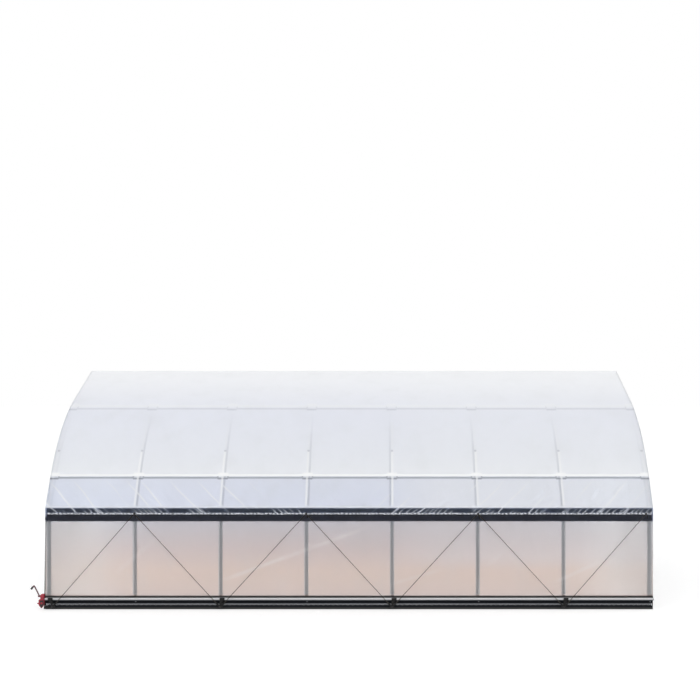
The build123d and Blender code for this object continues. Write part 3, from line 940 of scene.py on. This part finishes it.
MATERIALS = {
    "galvanised_pipe": galvanised("galvanised_pipe", (0.40, 0.41, 0.43), (0.66, 0.68, 0.71), 0.42, 0.8),
    "clamp_steel": galvanised("clamp_steel", (0.10, 0.105, 0.12), (0.26, 0.27, 0.29), 0.5),
    "pole_steel": pole_material(),
    "roof_film": roof_film_material(),
    "curtain_film": curtain_material(),
    "end_film": end_film_material(),
    "dark_board": timber(),
    "lock_channel": channel_material(),
    "lock_wire": matt("lock_wire", (0.66, 0.68, 0.72), (0.80, 0.82, 0.86), 0.35, 300.0),
    "film_tail": tail_material(),
    "foot_plate": matt("foot_plate", (0.012, 0.012, 0.013), (0.040, 0.040, 0.042), 0.7, 220.0),
    # Painted shade: the knots are a darker copy of the rope's own colour.
    "knot_rope_painted_shade": matt("knot_rope_painted_shade", (0.006, 0.006, 0.007), (0.022, 0.021, 0.021), 0.9, 400.0),
    "rope": matt("rope", (0.045, 0.038, 0.032), (0.11, 0.095, 0.08), 0.85, 400.0),
    "red_paint": painted("red_paint", (0.47, 0.024, 0.050), (0.20, 0.012, 0.024), 0.45),
    "black_casting": matt("black_casting", (0.012, 0.010, 0.011), (0.035, 0.028, 0.030), 0.6, 160.0),
    "crank_paint": painted("crank_paint", (0.085, 0.018, 0.026), (0.15, 0.055, 0.065), 0.42),
    "grip_rubber": matt("grip_rubber", (0.035, 0.035, 0.037), (0.075, 0.075, 0.08), 0.75, 500.0),
}
for part in frame["record"]["subparts"]:
    node_materials = nodes[part["node"]].data.materials
    node_materials.clear()
    node_materials.append(MATERIALS["foot_plate" if part["node"] == "rope_hooks" else part["material_slot"]])


# Film

def fold_relief(x, s, folds):
    """Height of folds over a sheet, each from one point to another with its height and width."""
    relief = np.zeros_like(x)
    for (x0, s0), (x1, s1), height, width in folds:
        run = np.array((x1 - x0, s1 - s0))
        length = np.linalg.norm(run)
        run /= length
        along = ((x - x0) * run[0] + (s - s0) * run[1]) / length
        off = (x - x0) * -run[1] + (s - s0) * run[0]
        taper = np.sin(np.pi * np.clip(along, 0, 1)) ** 0.7
        relief += height * taper * np.exp(-((off / width) ** 2))
    return relief


def eave_folds(draw, side, foot, purlin):
    """Folds that run from the hoops at the lower purlin down to the hip channel, towards the middle."""
    folds = []
    for bay in range(HOOP_COUNT - 1):
        rightward = 1 if bay < (HOOP_COUNT - 1) / 2 else -1
        hoop = HOOP_X[bay if rightward > 0 else bay + 1]
        for fan in range(EAVE_FOLDS_A_BAY):
            top = hoop + rightward * draw.uniform(0.03, 0.25 + 0.12 * fan)
            drop = draw.uniform(0.45, 1.0)
            bottom = top + rightward * draw.uniform(0.25, 0.6)
            high = foot + side * abs(purlin - foot) * drop
            low = foot + side * draw.uniform(0.0, 0.05)
            height = draw.uniform(0.003, 0.008)
            folds.append(((side * top, high), (side * bottom, low), height, EAVE_FOLD_WIDTH))
    return folds


def steps_between(start, stop, step):
    """Even places from start to stop, about a step apart."""
    return list(np.linspace(start, stop, max(2, int(round((stop - start) / step)) + 1)))


def roof_film(tails):
    """One sheet over the whole tunnel, tucked into both hip channels, with eave folds; the tails handed to it
    are not used.
    """
    foot = HIP_CHANNEL_Z + CHANNEL_GAP
    arch = Arch(foot, FILM_LINE - HALF_SPAN + FILM_THICKNESS, ROOF_OUT + FILM_THICKNESS, EAVE_RADIUS)
    purlin = arch.place_at_height(LOWER_PURLIN_HEIGHT)
    rising = TUCK_STEPS + steps_between(0.034, purlin, 0.022)
    rising += steps_between(purlin, arch.length / 2, 0.075)[1:]
    rows = np.array(rising + [arch.length - s for s in reversed(rising[:-1])])
    columns = np.linspace(-FILM_REACH, FILM_REACH, FILM_COLUMNS)
    s, x = np.meshgrid(rows, columns, indexing="ij")
    point, outward = arch.at(s)
    draw = random.Random(11)
    folds = eave_folds(draw, NEAR, 0.0, purlin) + eave_folds(draw, FAR, arch.length, arch.length - purlin)
    relief = fold_relief(x, s, folds)
    beside = np.abs((x - HOOP_X[0] + BAY / 2) % BAY - BAY / 2)
    slack = np.sin(np.pi * np.clip(beside / BAY, 0, 1)) ** 2
    relief -= ROOF_SAG * slack * np.sin(np.pi * s / arch.length)
    relief += ROOF_RIPPLE * slack * np.sin(9.0 * x + 3.0 * np.sin(2.0 * s)) * np.sin(7.0 * s + 2.0 * x)
    edge = np.minimum(s, arch.length - s)
    relief -= TUCK_DEPTH * np.clip(1 - edge / TUCK_HEIGHT, 0, 1) ** 2
    grid = np.concatenate([x[..., None], point + relief[..., None] * outward], -1)
    piece = make_piece("roof_film", *shell(grid, FILM_THICKNESS), "roof_film", "roof_film")
    strips = [f"roof_film_{strip}_{side}" for strip in ("eave", "shoulder", "rafter") for side in SIDES]
    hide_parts(*strips)


def curtain_line():
    """Out and height of a curtain from the hip channel down to the roll and round it."""
    top_z = HIP_CHANNEL_Z - CHANNEL_GAP
    line = [(FILM_LINE - TUCK_DEPTH * (1 - z / TUCK_HEIGHT) ** 2, top_z - z) for z in TUCK_STEPS]
    start_z = top_z - 0.03
    inner = ROLL_LINE - ROLL_RADIUS
    for share in steps_between(0.0, 1.0, 0.032):
        line.append((FILM_LINE + (inner - FILM_LINE) * share, start_z + (ROLL_Z - start_z) * share))
    turns = np.linspace(0, ROLL_TURNS * TURN, 54)[1:]
    radii = np.linspace(ROLL_RADIUS, BAR_RADIUS + 0.0014, len(turns) + 1)[1:]
    line += [(ROLL_LINE - r * math.cos(a), ROLL_Z - r * math.sin(a)) for a, r in zip(turns, radii)]
    return np.array(line)


def side_curtain(side_name, side):
    """Side film from the hip channel down behind the roll bar and wound round it."""
    line = curtain_line()
    top_z = line[0, 1]
    lengths = np.concatenate([[0], np.cumsum(np.linalg.norm(np.diff(line, axis=0), axis=1))])
    columns = np.linspace(-FILM_REACH, FILM_REACH, FILM_COLUMNS)
    row, x = np.meshgrid(np.arange(len(line)), columns, indexing="ij")
    s = lengths[row]
    hung = np.clip((s - 0.02) / 0.15, 0, 1) * np.clip((top_z - ROLL_Z - s) / 0.12, 0, 1)
    draw = random.Random(23 + side)
    folds = []
    for (x0, z0), (x1, z1), height, width, _ in CURTAIN_FOLDS:
        folds.append(((x0, top_z - z0), (x1, top_z - z1), height, width))
    for _ in range(SMALL_FOLDS):
        start = draw.uniform(-4.4, 3.9)
        upper = (start, draw.uniform(0.5, 1.15))
        lower = (start + draw.uniform(-0.5, 0.5), draw.uniform(0.1, 0.5))
        folds.append((upper, lower, draw.uniform(0.001, 0.003), SMALL_FOLD_WIDTH))
    relief = fold_relief(x, s, folds) * hung
    relief += hung * CURTAIN_RIPPLE * np.sin(5.2 * x + 1.5 * np.sin(1.7 * x)) * np.sin(2.2 * s)
    points = on_side(side, x, line[row, 0] + relief, line[row, 1])
    verts, faces = shell(points[::-1], FILM_THICKNESS)
    piece = make_piece(f"curtain_film_{side_name}", verts, faces, "curtain_film", "curtain_film")
    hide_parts(f"side_curtain_{side_name}")


def end_wall(end_name, end):
    """End film beside and over the doorway, held under the arch channel."""
    arch = Arch(0.0, END_FILM_INSET, END_FILM_INSET, KNEE_RADIUS + END_FILM_INSET)
    corner_z = float(arch.height_at_reach(DOOR_LINE))
    heights = steps_between(0.0, DOOR_HEADER_Z, END_PANEL_STEP)
    heights = np.array(heights + steps_between(DOOR_HEADER_Z, corner_z, END_PANEL_STEP)[1:])
    wide = 30
    reach = np.maximum(arch.reach_at_height(heights), DOOR_LINE + 0.002)
    across = DOOR_LINE + np.outer(reach - DOOR_LINE, np.linspace(0, 1, wide))
    panels = []
    for way in (-1, 1):
        panels.append(np.stack([way * across, np.repeat(heights[:, None], wide, 1)], -1)[:, ::way])
    over = heights[heights > DOOR_HEADER_Z - 1e-6]
    lift = (over - DOOR_HEADER_Z) / (corner_z - DOOR_HEADER_Z)
    middle = np.linspace(-DOOR_LINE, DOOR_LINE, 18)
    tops = arch.height_at_reach(np.abs(middle))
    over_z = DOOR_HEADER_Z + np.outer(lift, tops - DOOR_HEADER_Z)
    panels.append(np.stack([np.repeat(middle[None, :], len(over), 0), over_z], -1))
    sheet = Parts()
    for panel in panels:
        y, z = panel[..., 0], panel[..., 1]
        edge = np.minimum(np.minimum(arch.reach_at_height(z) - np.abs(y), z + 0.05), 0.5)
        from_door = np.abs(np.abs(y) - DOOR_LINE)
        free = np.clip(edge / 0.2, 0, 1) * np.clip(from_door / 0.15, 0, 1)
        relief = free * (0.004 + 0.003 * np.sin(3.1 * y + 2.0 * z) * np.sin(4.0 * z - 1.2 * y))
        sheet.add(*shell(np.stack([end * (END_FILM_X + relief), end * y, z], -1), FILM_THICKNESS))
    piece = sheet.piece(f"end_film_{end_name}", "end_film", "end_film")
    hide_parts(f"end_wall_film_{end_name}")


# Film locks

def straight_channel(side, out, z, step):
    """Middle line of a side channel's mouth, with the directions across it and out of it."""
    places = np.arange(-BOARD_REACH + CHANNEL_END_GAP, BOARD_REACH - CHANNEL_END_GAP, step)
    across = np.tile((0.0, 0.0, 1.0), (len(places), 1))
    front = np.tile((0.0, -float(side), 0.0), (len(places), 1))
    return places, on_side(side, places, out, z), across, front


def arch_channel(end, step):
    """Middle line of an end arch channel's mouth, with the directions across it and out of it."""
    arch = Arch(ARCH_CHANNEL_FOOT, 0.0, 0.0, KNEE_RADIUS)
    places = np.arange(0, arch.length, step)
    point, outward = arch.at(places)
    points = np.column_stack([np.full(len(places), end * ARCH_CHANNEL_FRONT), point])
    across = np.column_stack([np.zeros(len(places)), outward])
    front = np.tile((float(end), 0.0, 0.0), (len(places), 1))
    return places, points, across, front


def lock_wire(parts, channel, stand):
    """Zigzag spring wire pressed into a channel's mouth."""
    places, points, across, front = channel
    swing = np.sin(places * TURN / WIRE_PITCH)[:, None]
    depth = stand - WIRE_DIP * (1 - np.abs(swing))
    parts.tube(points + across * WIRE_SWING * swing + front * depth, WIRE_RADIUS, 6)


def film_tail(parts, channel, stand, low, high, seed):
    """Crumpled edge of the film that stands out of a channel's mouth."""
    places, points, across, front = channel
    draw = random.Random(seed)
    waves = [(draw.uniform(40, 170), draw.uniform(0, 6.28), draw.uniform(0.4, 1.0)) for _ in range(7)]
    rows = []
    for share in np.linspace(0, 1, 6):
        ruffle = sum(a * np.sin(k * places + p + 2.2 * share) for k, p, a in waves) / 3
        ragged = sum(a * np.sin(0.6 * k * places + 2 * p) for k, p, a in waves) / 3
        height = low + (high - low) * share + TAIL_RAGGED * ragged * abs(2 * share - 1)
        bulge = stand + TAIL_RUFFLE * (1 + ruffle) * math.sin(math.pi * (0.15 + 0.8 * share))
        rows.append(points + across * height[:, None] + front * bulge[:, None])
    parts.add(*shell(np.array(rows), TAIL_THICKNESS))


def film_locks():
    """Wires in all channels and crumpled film edges at the hips and round the end arches."""
    wires, tails = Parts(), Parts()
    for side in SIDES.values():
        lock_wire(wires, straight_channel(side, FILM_LINE, HIP_CHANNEL_Z, WIRE_STEP), 0.0022)
        lock_wire(wires, straight_channel(side, CHANNEL_FRONT, BASE_CHANNEL_Z, WIRE_STEP), -0.001)
        hip = straight_channel(side, FILM_LINE, HIP_CHANNEL_Z, TAIL_STEP)
        film_tail(tails, hip, 0.001, -0.017, 0.009, 5 + side)
    for end in ENDS.values():
        lock_wire(wires, arch_channel(end, WIRE_STEP), 0.001)
        film_tail(tails, arch_channel(end, TAIL_STEP), 0.0, 0.004, 0.030, 15 + end)
    wires.piece("lock_wires", "lock_wire", "lock_channel")
    return tails.piece("film_tails", "film_tail", "roof_film")


roof_film(film_locks())
for side_name, side in SIDES.items():
    side_curtain(side_name, side)
for end_name, end in ENDS.items():
    end_wall(end_name, end)


# Ropes

def rope_anchors():
    """Along and height of the hooks on the near side, from the winch's end."""
    places = list(HOOP_X)
    places[0] += ROPE_END_INSET
    places[-1] -= ROPE_END_INSET
    return [(x, HIP_CHANNEL_Z if number % 2 else ROPE_FOOT_Z) for number, x in enumerate(places)]


def wound(side, start, run, places, angles, radius):
    """Points of a line wound round a taut rope, at places along it and angles round it."""
    middle = start + np.outer(places, run)
    lift, swing = radius * np.cos(angles), radius * np.sin(angles)
    return on_side(side, middle[:, 0] - run[1] * lift, ROPE_LINE + swing, middle[:, 1] + run[0] * lift)


def taut_rope(ropes, knots, side, start, stop):
    """Strands of a rope from hook to hook, with turns of its end wound round it above the lower hook."""
    length = np.linalg.norm(stop - start)
    run = (stop - start) / length
    places = np.arange(HOOK_RADIUS + 0.001, length - HOOK_RADIUS - 0.001, ROPE_STEP)
    for strand in range(STRANDS):
        angles = places * TURN / ROPE_LAY + strand * TURN / STRANDS
        ropes.tube(wound(side, start, run, places, angles, STRAND_OFFSET), STRAND_RADIUS, 5)
    low, upward = (start, run) if start[1] < stop[1] else (stop, -run)
    places = np.linspace(HITCH_START, HITCH_STOP, HITCH_TURNS * 10)
    angles = np.linspace(0, HITCH_TURNS * TURN, len(places))
    knots.tube(wound(side, low, upward, places, angles, HITCH_RADIUS), KNOT_ROPE_RADIUS, 7)


def rope_bundle(knots, side, x, tilt):
    """Spare rope at a foot hook, gathered in loops that lean on the roll and wrapped near their top."""
    angles = np.linspace(0, TURN, 28, endpoint=False)
    middle_z = (BUNDLE_BOTTOM + BUNDLE_TOP) / 2
    rise = (BUNDLE_TOP - BUNDLE_BOTTOM) / 2
    lean = tilt * (np.cos(angles) + 1) / 2 + 0.2 * BUNDLE_HALF_WIDTH * np.sin(angles)
    for loop, spread in enumerate(np.linspace(-1, 1, BUNDLE_LOOPS)):
        fan = spread * BUNDLE_HALF_WIDTH * (np.cos(angles) + BUNDLE_FAN) / (1 + BUNDLE_FAN)
        z = middle_z + (rise - 0.004 * abs(spread)) * np.cos(angles)
        out = ROPE_LINE + KNOT_ROPE_RADIUS * np.sin(angles + loop)
        knots.tube(on_side(side, x + lean + fan, out, z), KNOT_ROPE_RADIUS, 7, closed=True)
    turns = np.linspace(0, WRAP_TURNS * TURN, WRAP_TURNS * 24)
    across = 0.85 * tilt + (BUNDLE_HALF_WIDTH + KNOT_ROPE_RADIUS) * np.cos(turns)
    out = ROPE_LINE + 0.0004 + 2 * KNOT_ROPE_RADIUS * np.sin(turns)
    z = np.linspace(WRAP_BOTTOM, WRAP_TOP, len(turns))
    knots.tube(on_side(side, x + across, out, z), KNOT_ROPE_RADIUS, 7)


def hook_turns(knots, side, x, z, tail):
    """Turns of rope round a hook, with a tail that hangs from them."""
    angles = np.linspace(0, HOOK_TURNS * TURN, 44)
    loop = HOOK_RADIUS + KNOT_ROPE_RADIUS
    out = np.linspace(ROPE_LINE - 0.011, ROPE_LINE + 0.004, len(angles))
    turns = on_side(side, x + loop * np.sin(angles), out, z + loop * np.cos(angles))
    foot_x, foot_z = x + loop * math.sin(angles[-1]), z + loop * math.cos(angles[-1])
    steps = np.arange(1, 6)
    hanging = on_side(side, foot_x + 0.002 * steps, out[-1] + 0.0004 * steps, foot_z - tail * steps / 5)
    knots.tube(np.concatenate([turns, hanging]), KNOT_ROPE_RADIUS, 7)


def curtain_rope(side_name, side):
    """Three-strand ropes from hook to hook, tied to each hook, with spare rope at the foot hooks."""
    ropes, knots = Parts(), Parts()
    anchors = rope_anchors()
    for start, stop in zip(anchors, anchors[1:]):
        taut_rope(ropes, knots, side, np.array(start), np.array(stop))
    for x, _ in anchors[::2]:
        rope_bundle(knots, side, x, BUNDLE_LEAN if x != anchors[0][0] else -BUNDLE_LEAN)
    for number, (x, z) in enumerate(anchors):
        hip_tail = HIP_TAIL + HIP_TAIL_STEP * (number % 3)
        hook_turns(knots, side, x, z, FOOT_TAIL if z < HIP_CHANNEL_Z else hip_tail)
    rope = ropes.piece(f"rope_strands_{side_name}", "rope", "rope")
    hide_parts(f"curtain_rope_{side_name}")
    knots.piece(f"rope_knots_{side_name}", "knot_rope_painted_shade", "rope")


for side_name, side in SIDES.items():
    curtain_rope(side_name, side)


# Bolts, plates and screws

def splice_bolts():
    """Cross bolts through the bow joints of every hoop, with a nut on the other side."""
    bolts = Parts()
    arch = Arch(0.0, 0.0, 0.0, KNEE_RADIUS)
    near = arch.place_at_height(SPLICE_HEIGHT)
    for x in HOOP_X:
        for place in (near, arch.length - near):
            for shift in (-SPLICE_BOLT_SHIFT, SPLICE_BOLT_SHIFT):
                point, outward = arch.at([place + shift])
                centre = np.array((x, *(point[0] + 0.004 * outward[0])))
                for way in (-1, 1):
                    seat = centre + (way * (HOOP_RADIUS - 0.0015), 0, 0)
                    bolts.hex_bolt(seat, (way, 0, 0), 0.008, 0.010)
    bolts.piece("splice_bolts", "clamp_steel", "clamp_steel", smooth=False)


def clamp_bolts():
    """Bolts that tighten the purlin clamps beside every hoop, on their inner side."""
    bolts = Parts()
    arch = Arch(0.0, 0.0, 0.0, KNEE_RADIUS)
    low, high = (arch.place_at_height(z) for z in (LOWER_PURLIN_HEIGHT, UPPER_PURLIN_HEIGHT))
    bays = [(x, way) for n, x in enumerate(HOOP_X) for way in (-1, 1) if 0 <= n + way < HOOP_COUNT]
    for place in (low, high, arch.length / 2, arch.length - high, arch.length - low):
        point, outward = arch.at([place])
        inward = np.array((0, *-outward[0]))
        for x, way in bays:
            for distance in CLAMP_BOLT_PLACES:
                seat = np.array((x + way * distance, *point[0])) + inward * CLAMP_BOLT_SEAT
                bolts.hex_bolt(seat, inward, 0.006, 0.009)
    bolts.piece("clamp_bolts", "clamp_steel", "clamp_steel", smooth=False)


def board_screws():
    """Domed coach screws that hold the boards to every post, and screws in the base channels."""
    screws = Parts()
    for side in SIDES.values():
        out = (0, -side, 0)
        for x in HOOP_X:
            for z, shift in BOARD_SCREWS:
                screws.lathe(on_side(side, x + shift, BOARD_OUTER, z), out, DOME_SCREW, 12)
        for x in np.arange(-BOARD_REACH + 0.1, BOARD_REACH, CHANNEL_SCREW_PITCH):
            screws.lathe(on_side(side, x, CHANNEL_FLOOR, BASE_CHANNEL_Z), out, CHANNEL_SCREW, 10)
    screws.piece("board_screws", "clamp_steel", "clamp_steel")


def hook_plates():
    """Steel plates under the foot hooks, bolted to the base boards."""
    plates, bolts = Parts(), Parts()
    for side in SIDES.values():
        for x, z in rope_anchors()[::2]:
            verts = []
            for depth in (0.0, PLATE_THICKNESS):
                verts += [on_side(side, x + a, BOARD_OUTER + depth, z + b) for a, b in PLATE_OUTLINE]
            faces = ring_faces(2, len(PLATE_OUTLINE), closed=False)
            plates.add(verts, [face[::side] for face in faces])
            for a, b in PLATE_BOLTS:
                seat = on_side(side, x + a, BOARD_OUTER + PLATE_THICKNESS, z + b)
                bolts.hex_bolt(seat, (0, -side, 0), 0.006, 0.006)
    plates.piece("hook_plates", "foot_plate", "clamp_steel", smooth=False)
    bolts.piece("hook_plate_bolts", "foot_plate", "clamp_steel", smooth=False)


splice_bolts()
clamp_bolts()
board_screws()
hook_plates()


# Winches

def casting(name, outline, side, depths, edge, finish):
    """Block with rounded edges between two distances out, from an outline along the tunnel and up."""
    made = bmesh.new()
    corners = [made.verts.new(on_side(side, x, depths[0], z)) for x, z in outline]
    base = made.faces.new(corners)
    grown = bmesh.ops.extrude_face_region(made, geom=[base])["geom"]
    moved = [v for v in grown if isinstance(v, bmesh.types.BMVert)]
    bmesh.ops.translate(made, verts=moved, vec=(0, -side * (depths[1] - depths[0]), 0))
    bmesh.ops.recalc_face_normals(made, faces=made.faces)
    bmesh.ops.bevel(made, geom=list(made.edges), offset=edge, segments=3, affect="EDGES", profile=0.6)
    made.verts.index_update()
    verts = [v.co[:] for v in made.verts]
    faces = [[v.index for v in f.verts] for f in made.faces]
    made.free()
    return make_piece(name, verts, faces, finish, finish, smooth=False)


def winch(side_name, side):
    """Cast gearbox with a bolted cover, a worm housing on its front, a boss, the crank's shaft and a stub."""
    taper_z = GEARBOX_BOTTOM + GEARBOX_TAPER
    outline = [
        (GEARBOX_RIGHT, GEARBOX_TOP),
        (GEARBOX_UPPER_LEFT + GEARBOX_SHOULDER, GEARBOX_TOP),
        (GEARBOX_UPPER_LEFT, GEARBOX_TOP - GEARBOX_SHOULDER),
        (GEARBOX_UPPER_LEFT, GEARBOX_STEP[0]),
        (GEARBOX_LOWER_LEFT, GEARBOX_STEP[1]),
        (GEARBOX_LOWER_LEFT, taper_z),
        (GEARBOX_MIDDLE, GEARBOX_BOTTOM),
        (GEARBOX_RIGHT, taper_z),
    ]
    depths = (GEARBOX_BACK, GEARBOX_RIM)
    body = casting(f"winch_body_{side_name}", outline, side, depths, 0.005, "red_paint")
    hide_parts(f"winch_gearbox_{side_name}")
    cover = [
        (GEARBOX_RIGHT - 0.008, 0.150),
        (GEARBOX_LOWER_LEFT + 0.024, 0.144),
        (GEARBOX_LOWER_LEFT + 0.024, taper_z - 0.008),
        (GEARBOX_MIDDLE, GEARBOX_BOTTOM + 0.010),
        (GEARBOX_RIGHT - 0.006, taper_z + 0.004),
    ]
    depths = (GEARBOX_RIM - 0.001, COVER_FRONT)
    casting(f"winch_cover_{side_name}", cover, side, depths, 0.002, "black_casting")
    bolts, turned = Parts(), Parts()
    front, outward = (0, -side, 0), (-side, 0, 0)
    seat_out = COVER_FRONT - COVER_SEATING
    cover_x = sum(x for x, _ in cover) / len(cover)
    for x, z in cover:
        seat_x = x + (cover_x - x) * COVER_BOLT_INSET
        seat_z = z + (COVER_MIDDLE_Z - z) * COVER_BOLT_INSET
        bolts.hex_bolt(on_side(side, seat_x, seat_out, seat_z), front, 0.0045, 0.004)
    worm_start = on_side(side, GEARBOX_RIGHT - 0.004, GEARBOX_FRONT - 0.022, CRANK_AXIS_Z - 0.002)
    turned.lathe(worm_start, outward, WORM_HOUSING, 24)
    turned.lathe(on_side(side, cover_x, seat_out, GEAR_CAP_Z), front, GEAR_CAP, 24)
    for x, z, profile in (
        (GEARBOX_UPPER_LEFT + SEATING, CRANK_AXIS_Z, BOSS),
        (GEARBOX_UPPER_LEFT - BOSS_LENGTH, CRANK_AXIS_Z, SHAFT),
        (GEARBOX_LOWER_LEFT + SEATING, STUB_Z, STUB),
    ):
        turned.lathe(on_side(side, x, ROLL_LINE, z), outward, profile, 24)
    turned.piece(f"winch_shafts_{side_name}", "red_paint", "red_paint")
    bolts.piece(f"winch_bolts_{side_name}", "foot_plate", "clamp_steel", smooth=False)


def crank_grip(side_name, side):
    """Ribbed rubber grip round the end of the crank's rod."""
    end, bend = np.array(CRANK_END), np.array(CRANK_BEND)
    run = (end - bend) / np.linalg.norm(end - bend)
    start = end - run * GRIP_LENGTH
    groove = GRIP_RADIUS - RIB_DEPTH
    profile = [(0, CRANK_ROD_RADIUS + 0.0007), (0.0006, GRIP_RADIUS - 0.002), (0.002, GRIP_RADIUS - 0.0004)]
    for rib in range(GRIP_RIBS):
        begin = 0.004 + rib * RIB_PITCH
        profile += [(begin, GRIP_RADIUS), (begin + 0.0022, GRIP_RADIUS)]
        profile += [(begin + 0.0028, groove), (begin + 0.0044, groove)]
    profile += [(GRIP_LENGTH - 0.0015, GRIP_RADIUS - 0.0004), (GRIP_LENGTH - 0.0002, GRIP_RADIUS - 0.003)]
    grip = Parts()
    origin = on_side(side, start[0], ROLL_LINE, start[1])
    grip.lathe(origin, (side * run[0], 0, run[1]), profile, 24)
    piece = grip.piece(f"ribbed_grip_{side_name}", "grip_rubber", "grip_rubber", f"crank_{side_name}")
    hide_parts(f"crank_grip_{side_name}")


for side_name, side in SIDES.items():
    winch(side_name, side)
    crank_grip(side_name, side)


# Rolled doors

def round_roll(end, angles, radius, y):
    """Points round the axis of a rolled door."""
    x = end * (DOOR_ROLL_X - radius * np.cos(angles))
    return np.stack(np.broadcast_arrays(x, y, DOOR_ROLL_Z + radius * np.sin(angles)), -1)


def door_roll(end_name, end):
    """Film door wound up over its doorway, with a pole in its middle and two ties round it."""
    half = DOOR_ROLL_HALF
    turns = np.linspace(0, DOOR_ROLL_TURNS * TURN, 130)
    turn, y = np.meshgrid(turns, np.linspace(-half, half, 40), indexing="ij")
    radius = np.linspace(DOOR_ROLL_RADIUS - 0.001, DOOR_ROLL_CORE, len(turns))[:, None]
    radius = radius - DOOR_CRUMPLE * (1 + np.sin(7 * y + 2.5 * np.sin(turn)) * np.sin(1.5 * turn + 5 * y))
    spiral = round_roll(end, turn, radius, end * y)
    piece = make_piece(f"door_film_{end_name}", *shell(spiral, FILM_THICKNESS), "end_film", "end_film")
    poles, ties = Parts(), Parts()
    tip = DOOR_POLE_RADIUS - 0.0015
    profile = [(0, tip), (0.001, DOOR_POLE_RADIUS), (2 * half - 0.001, DOOR_POLE_RADIUS), (2 * half, tip)]
    poles.lathe((end * DOOR_ROLL_X, -half, DOOR_ROLL_Z), (0, 1, 0), profile, 20)
    ring = np.linspace(0, TURN, 40)[:, None]
    for place in DOOR_TIE_PLACES:
        edges = place + np.array([[-DOOR_TIE_HALF_WIDTH, DOOR_TIE_HALF_WIDTH]])
        ties.add(*shell(round_roll(end, ring, DOOR_TIE_RADIUS, edges), DOOR_TIE_THICKNESS))
    fittings = [
        poles.piece(f"door_pole_{end_name}", "galvanised_pipe", "galvanised_pipe"),
        ties.piece(f"door_ties_{end_name}", "rope", "rope"),
    ]
    return piece


door_films = [door_roll(end_name, end) for end_name, end in ENDS.items()]
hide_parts("door_rolls")


# Camera, light and floor

def seen_rays(tree):
    """Share of the rays that come from the camera, from glossy and from clear surfaces."""
    rays = tree.nodes.new("ShaderNodeLightPath")
    seen = rays.outputs["Is Camera Ray"]
    for kind in ("Is Glossy Ray", "Is Transmission Ray"):
        either = tree.nodes.new("ShaderNodeMath")
        either.operation = "MAXIMUM"
        tree.links.new(seen, either.inputs[0])
        tree.links.new(rays.outputs[kind], either.inputs[1])
        seen = either.outputs[0]
    return seen


def add_to_scene(name, data):
    """Object of the studio with its data."""
    made = bpy.data.objects.new(name, data)
    bpy.context.scene.collection.objects.link(made)
    return made


def surround():
    """White surround that lights the part as a soft sky."""
    world = bpy.data.worlds.new("studio")
    world.use_nodes = True
    tree = world.node_tree
    background = tree.nodes["Background"]
    background.inputs["Color"].default_value = (1.0, 1.0, 1.0, 1.0)
    level = tree.nodes.new("ShaderNodeMapRange")
    level.inputs["To Min"].default_value = SKY_LEVEL
    level.inputs["To Max"].default_value = 1.0
    tree.links.new(seen_rays(tree), level.inputs["Value"])
    tree.links.new(level.outputs[0], background.inputs["Strength"])
    return world


def floor_material():
    """Pale floor whose lit part meets the white surround and whose shadow stays."""
    material = bpy.data.materials.new("floor")
    material.use_nodes = True
    tree = material.node_tree
    surface = tree.nodes["Principled BSDF"]
    surface.inputs["Base Color"].default_value = (FLOOR_TONE, FLOOR_TONE, FLOOR_TONE, 1.0)
    surface.inputs["Roughness"].default_value = 0.9
    surface.inputs["Specular IOR Level"].default_value = 0.0
    surface.inputs["Emission Color"].default_value = (1.0, 1.0, 1.0, 1.0)
    level = tree.nodes.new("ShaderNodeMath")
    level.operation = "MULTIPLY"
    level.inputs[1].default_value = FLOOR_TONE
    tree.links.new(seen_rays(tree), level.inputs[0])
    tree.links.new(level.outputs[0], surface.inputs["Emission Strength"])
    return material


def studio():
    """White surround, soft sky and sun, a pale floor that keeps the shadow, and the camera."""
    scene = bpy.context.scene
    scene.view_settings.view_transform = "Standard"
    scene.world = surround()

    lamp = bpy.data.lights.new("sun", "SUN")
    lamp.energy = SUN_LEVEL
    lamp.angle = math.radians(SUN_SPREAD)
    add_to_scene("sun", lamp).rotation_euler = [math.radians(angle) for angle in SUN_TILT]

    half = FLOOR_SIZE / 2
    corners = [(-half, -half, 0), (half, -half, 0), (half, half, 0), (-half, half, 0)]
    floor_mesh = bpy.data.meshes.new("floor")
    floor_mesh.from_pydata(corners, [], [(0, 1, 2, 3)])
    floor_mesh.materials.append(floor_material())
    floor = add_to_scene("floor", floor_mesh)
    floor.location.z = -FLOOR_DROP

    lens = bpy.data.cameras.new("camera")
    lens.lens = CAMERA_LENS
    lens.sensor_width = 36.0
    lens.shift_x, lens.shift_y = CAMERA_SHIFT
    lens.clip_end = 500.0
    camera = add_to_scene("camera", lens)
    camera.location = CAMERA_PLACE
    camera.rotation_euler = (math.radians(90), 0, 0)
    scene.camera = camera


studio()
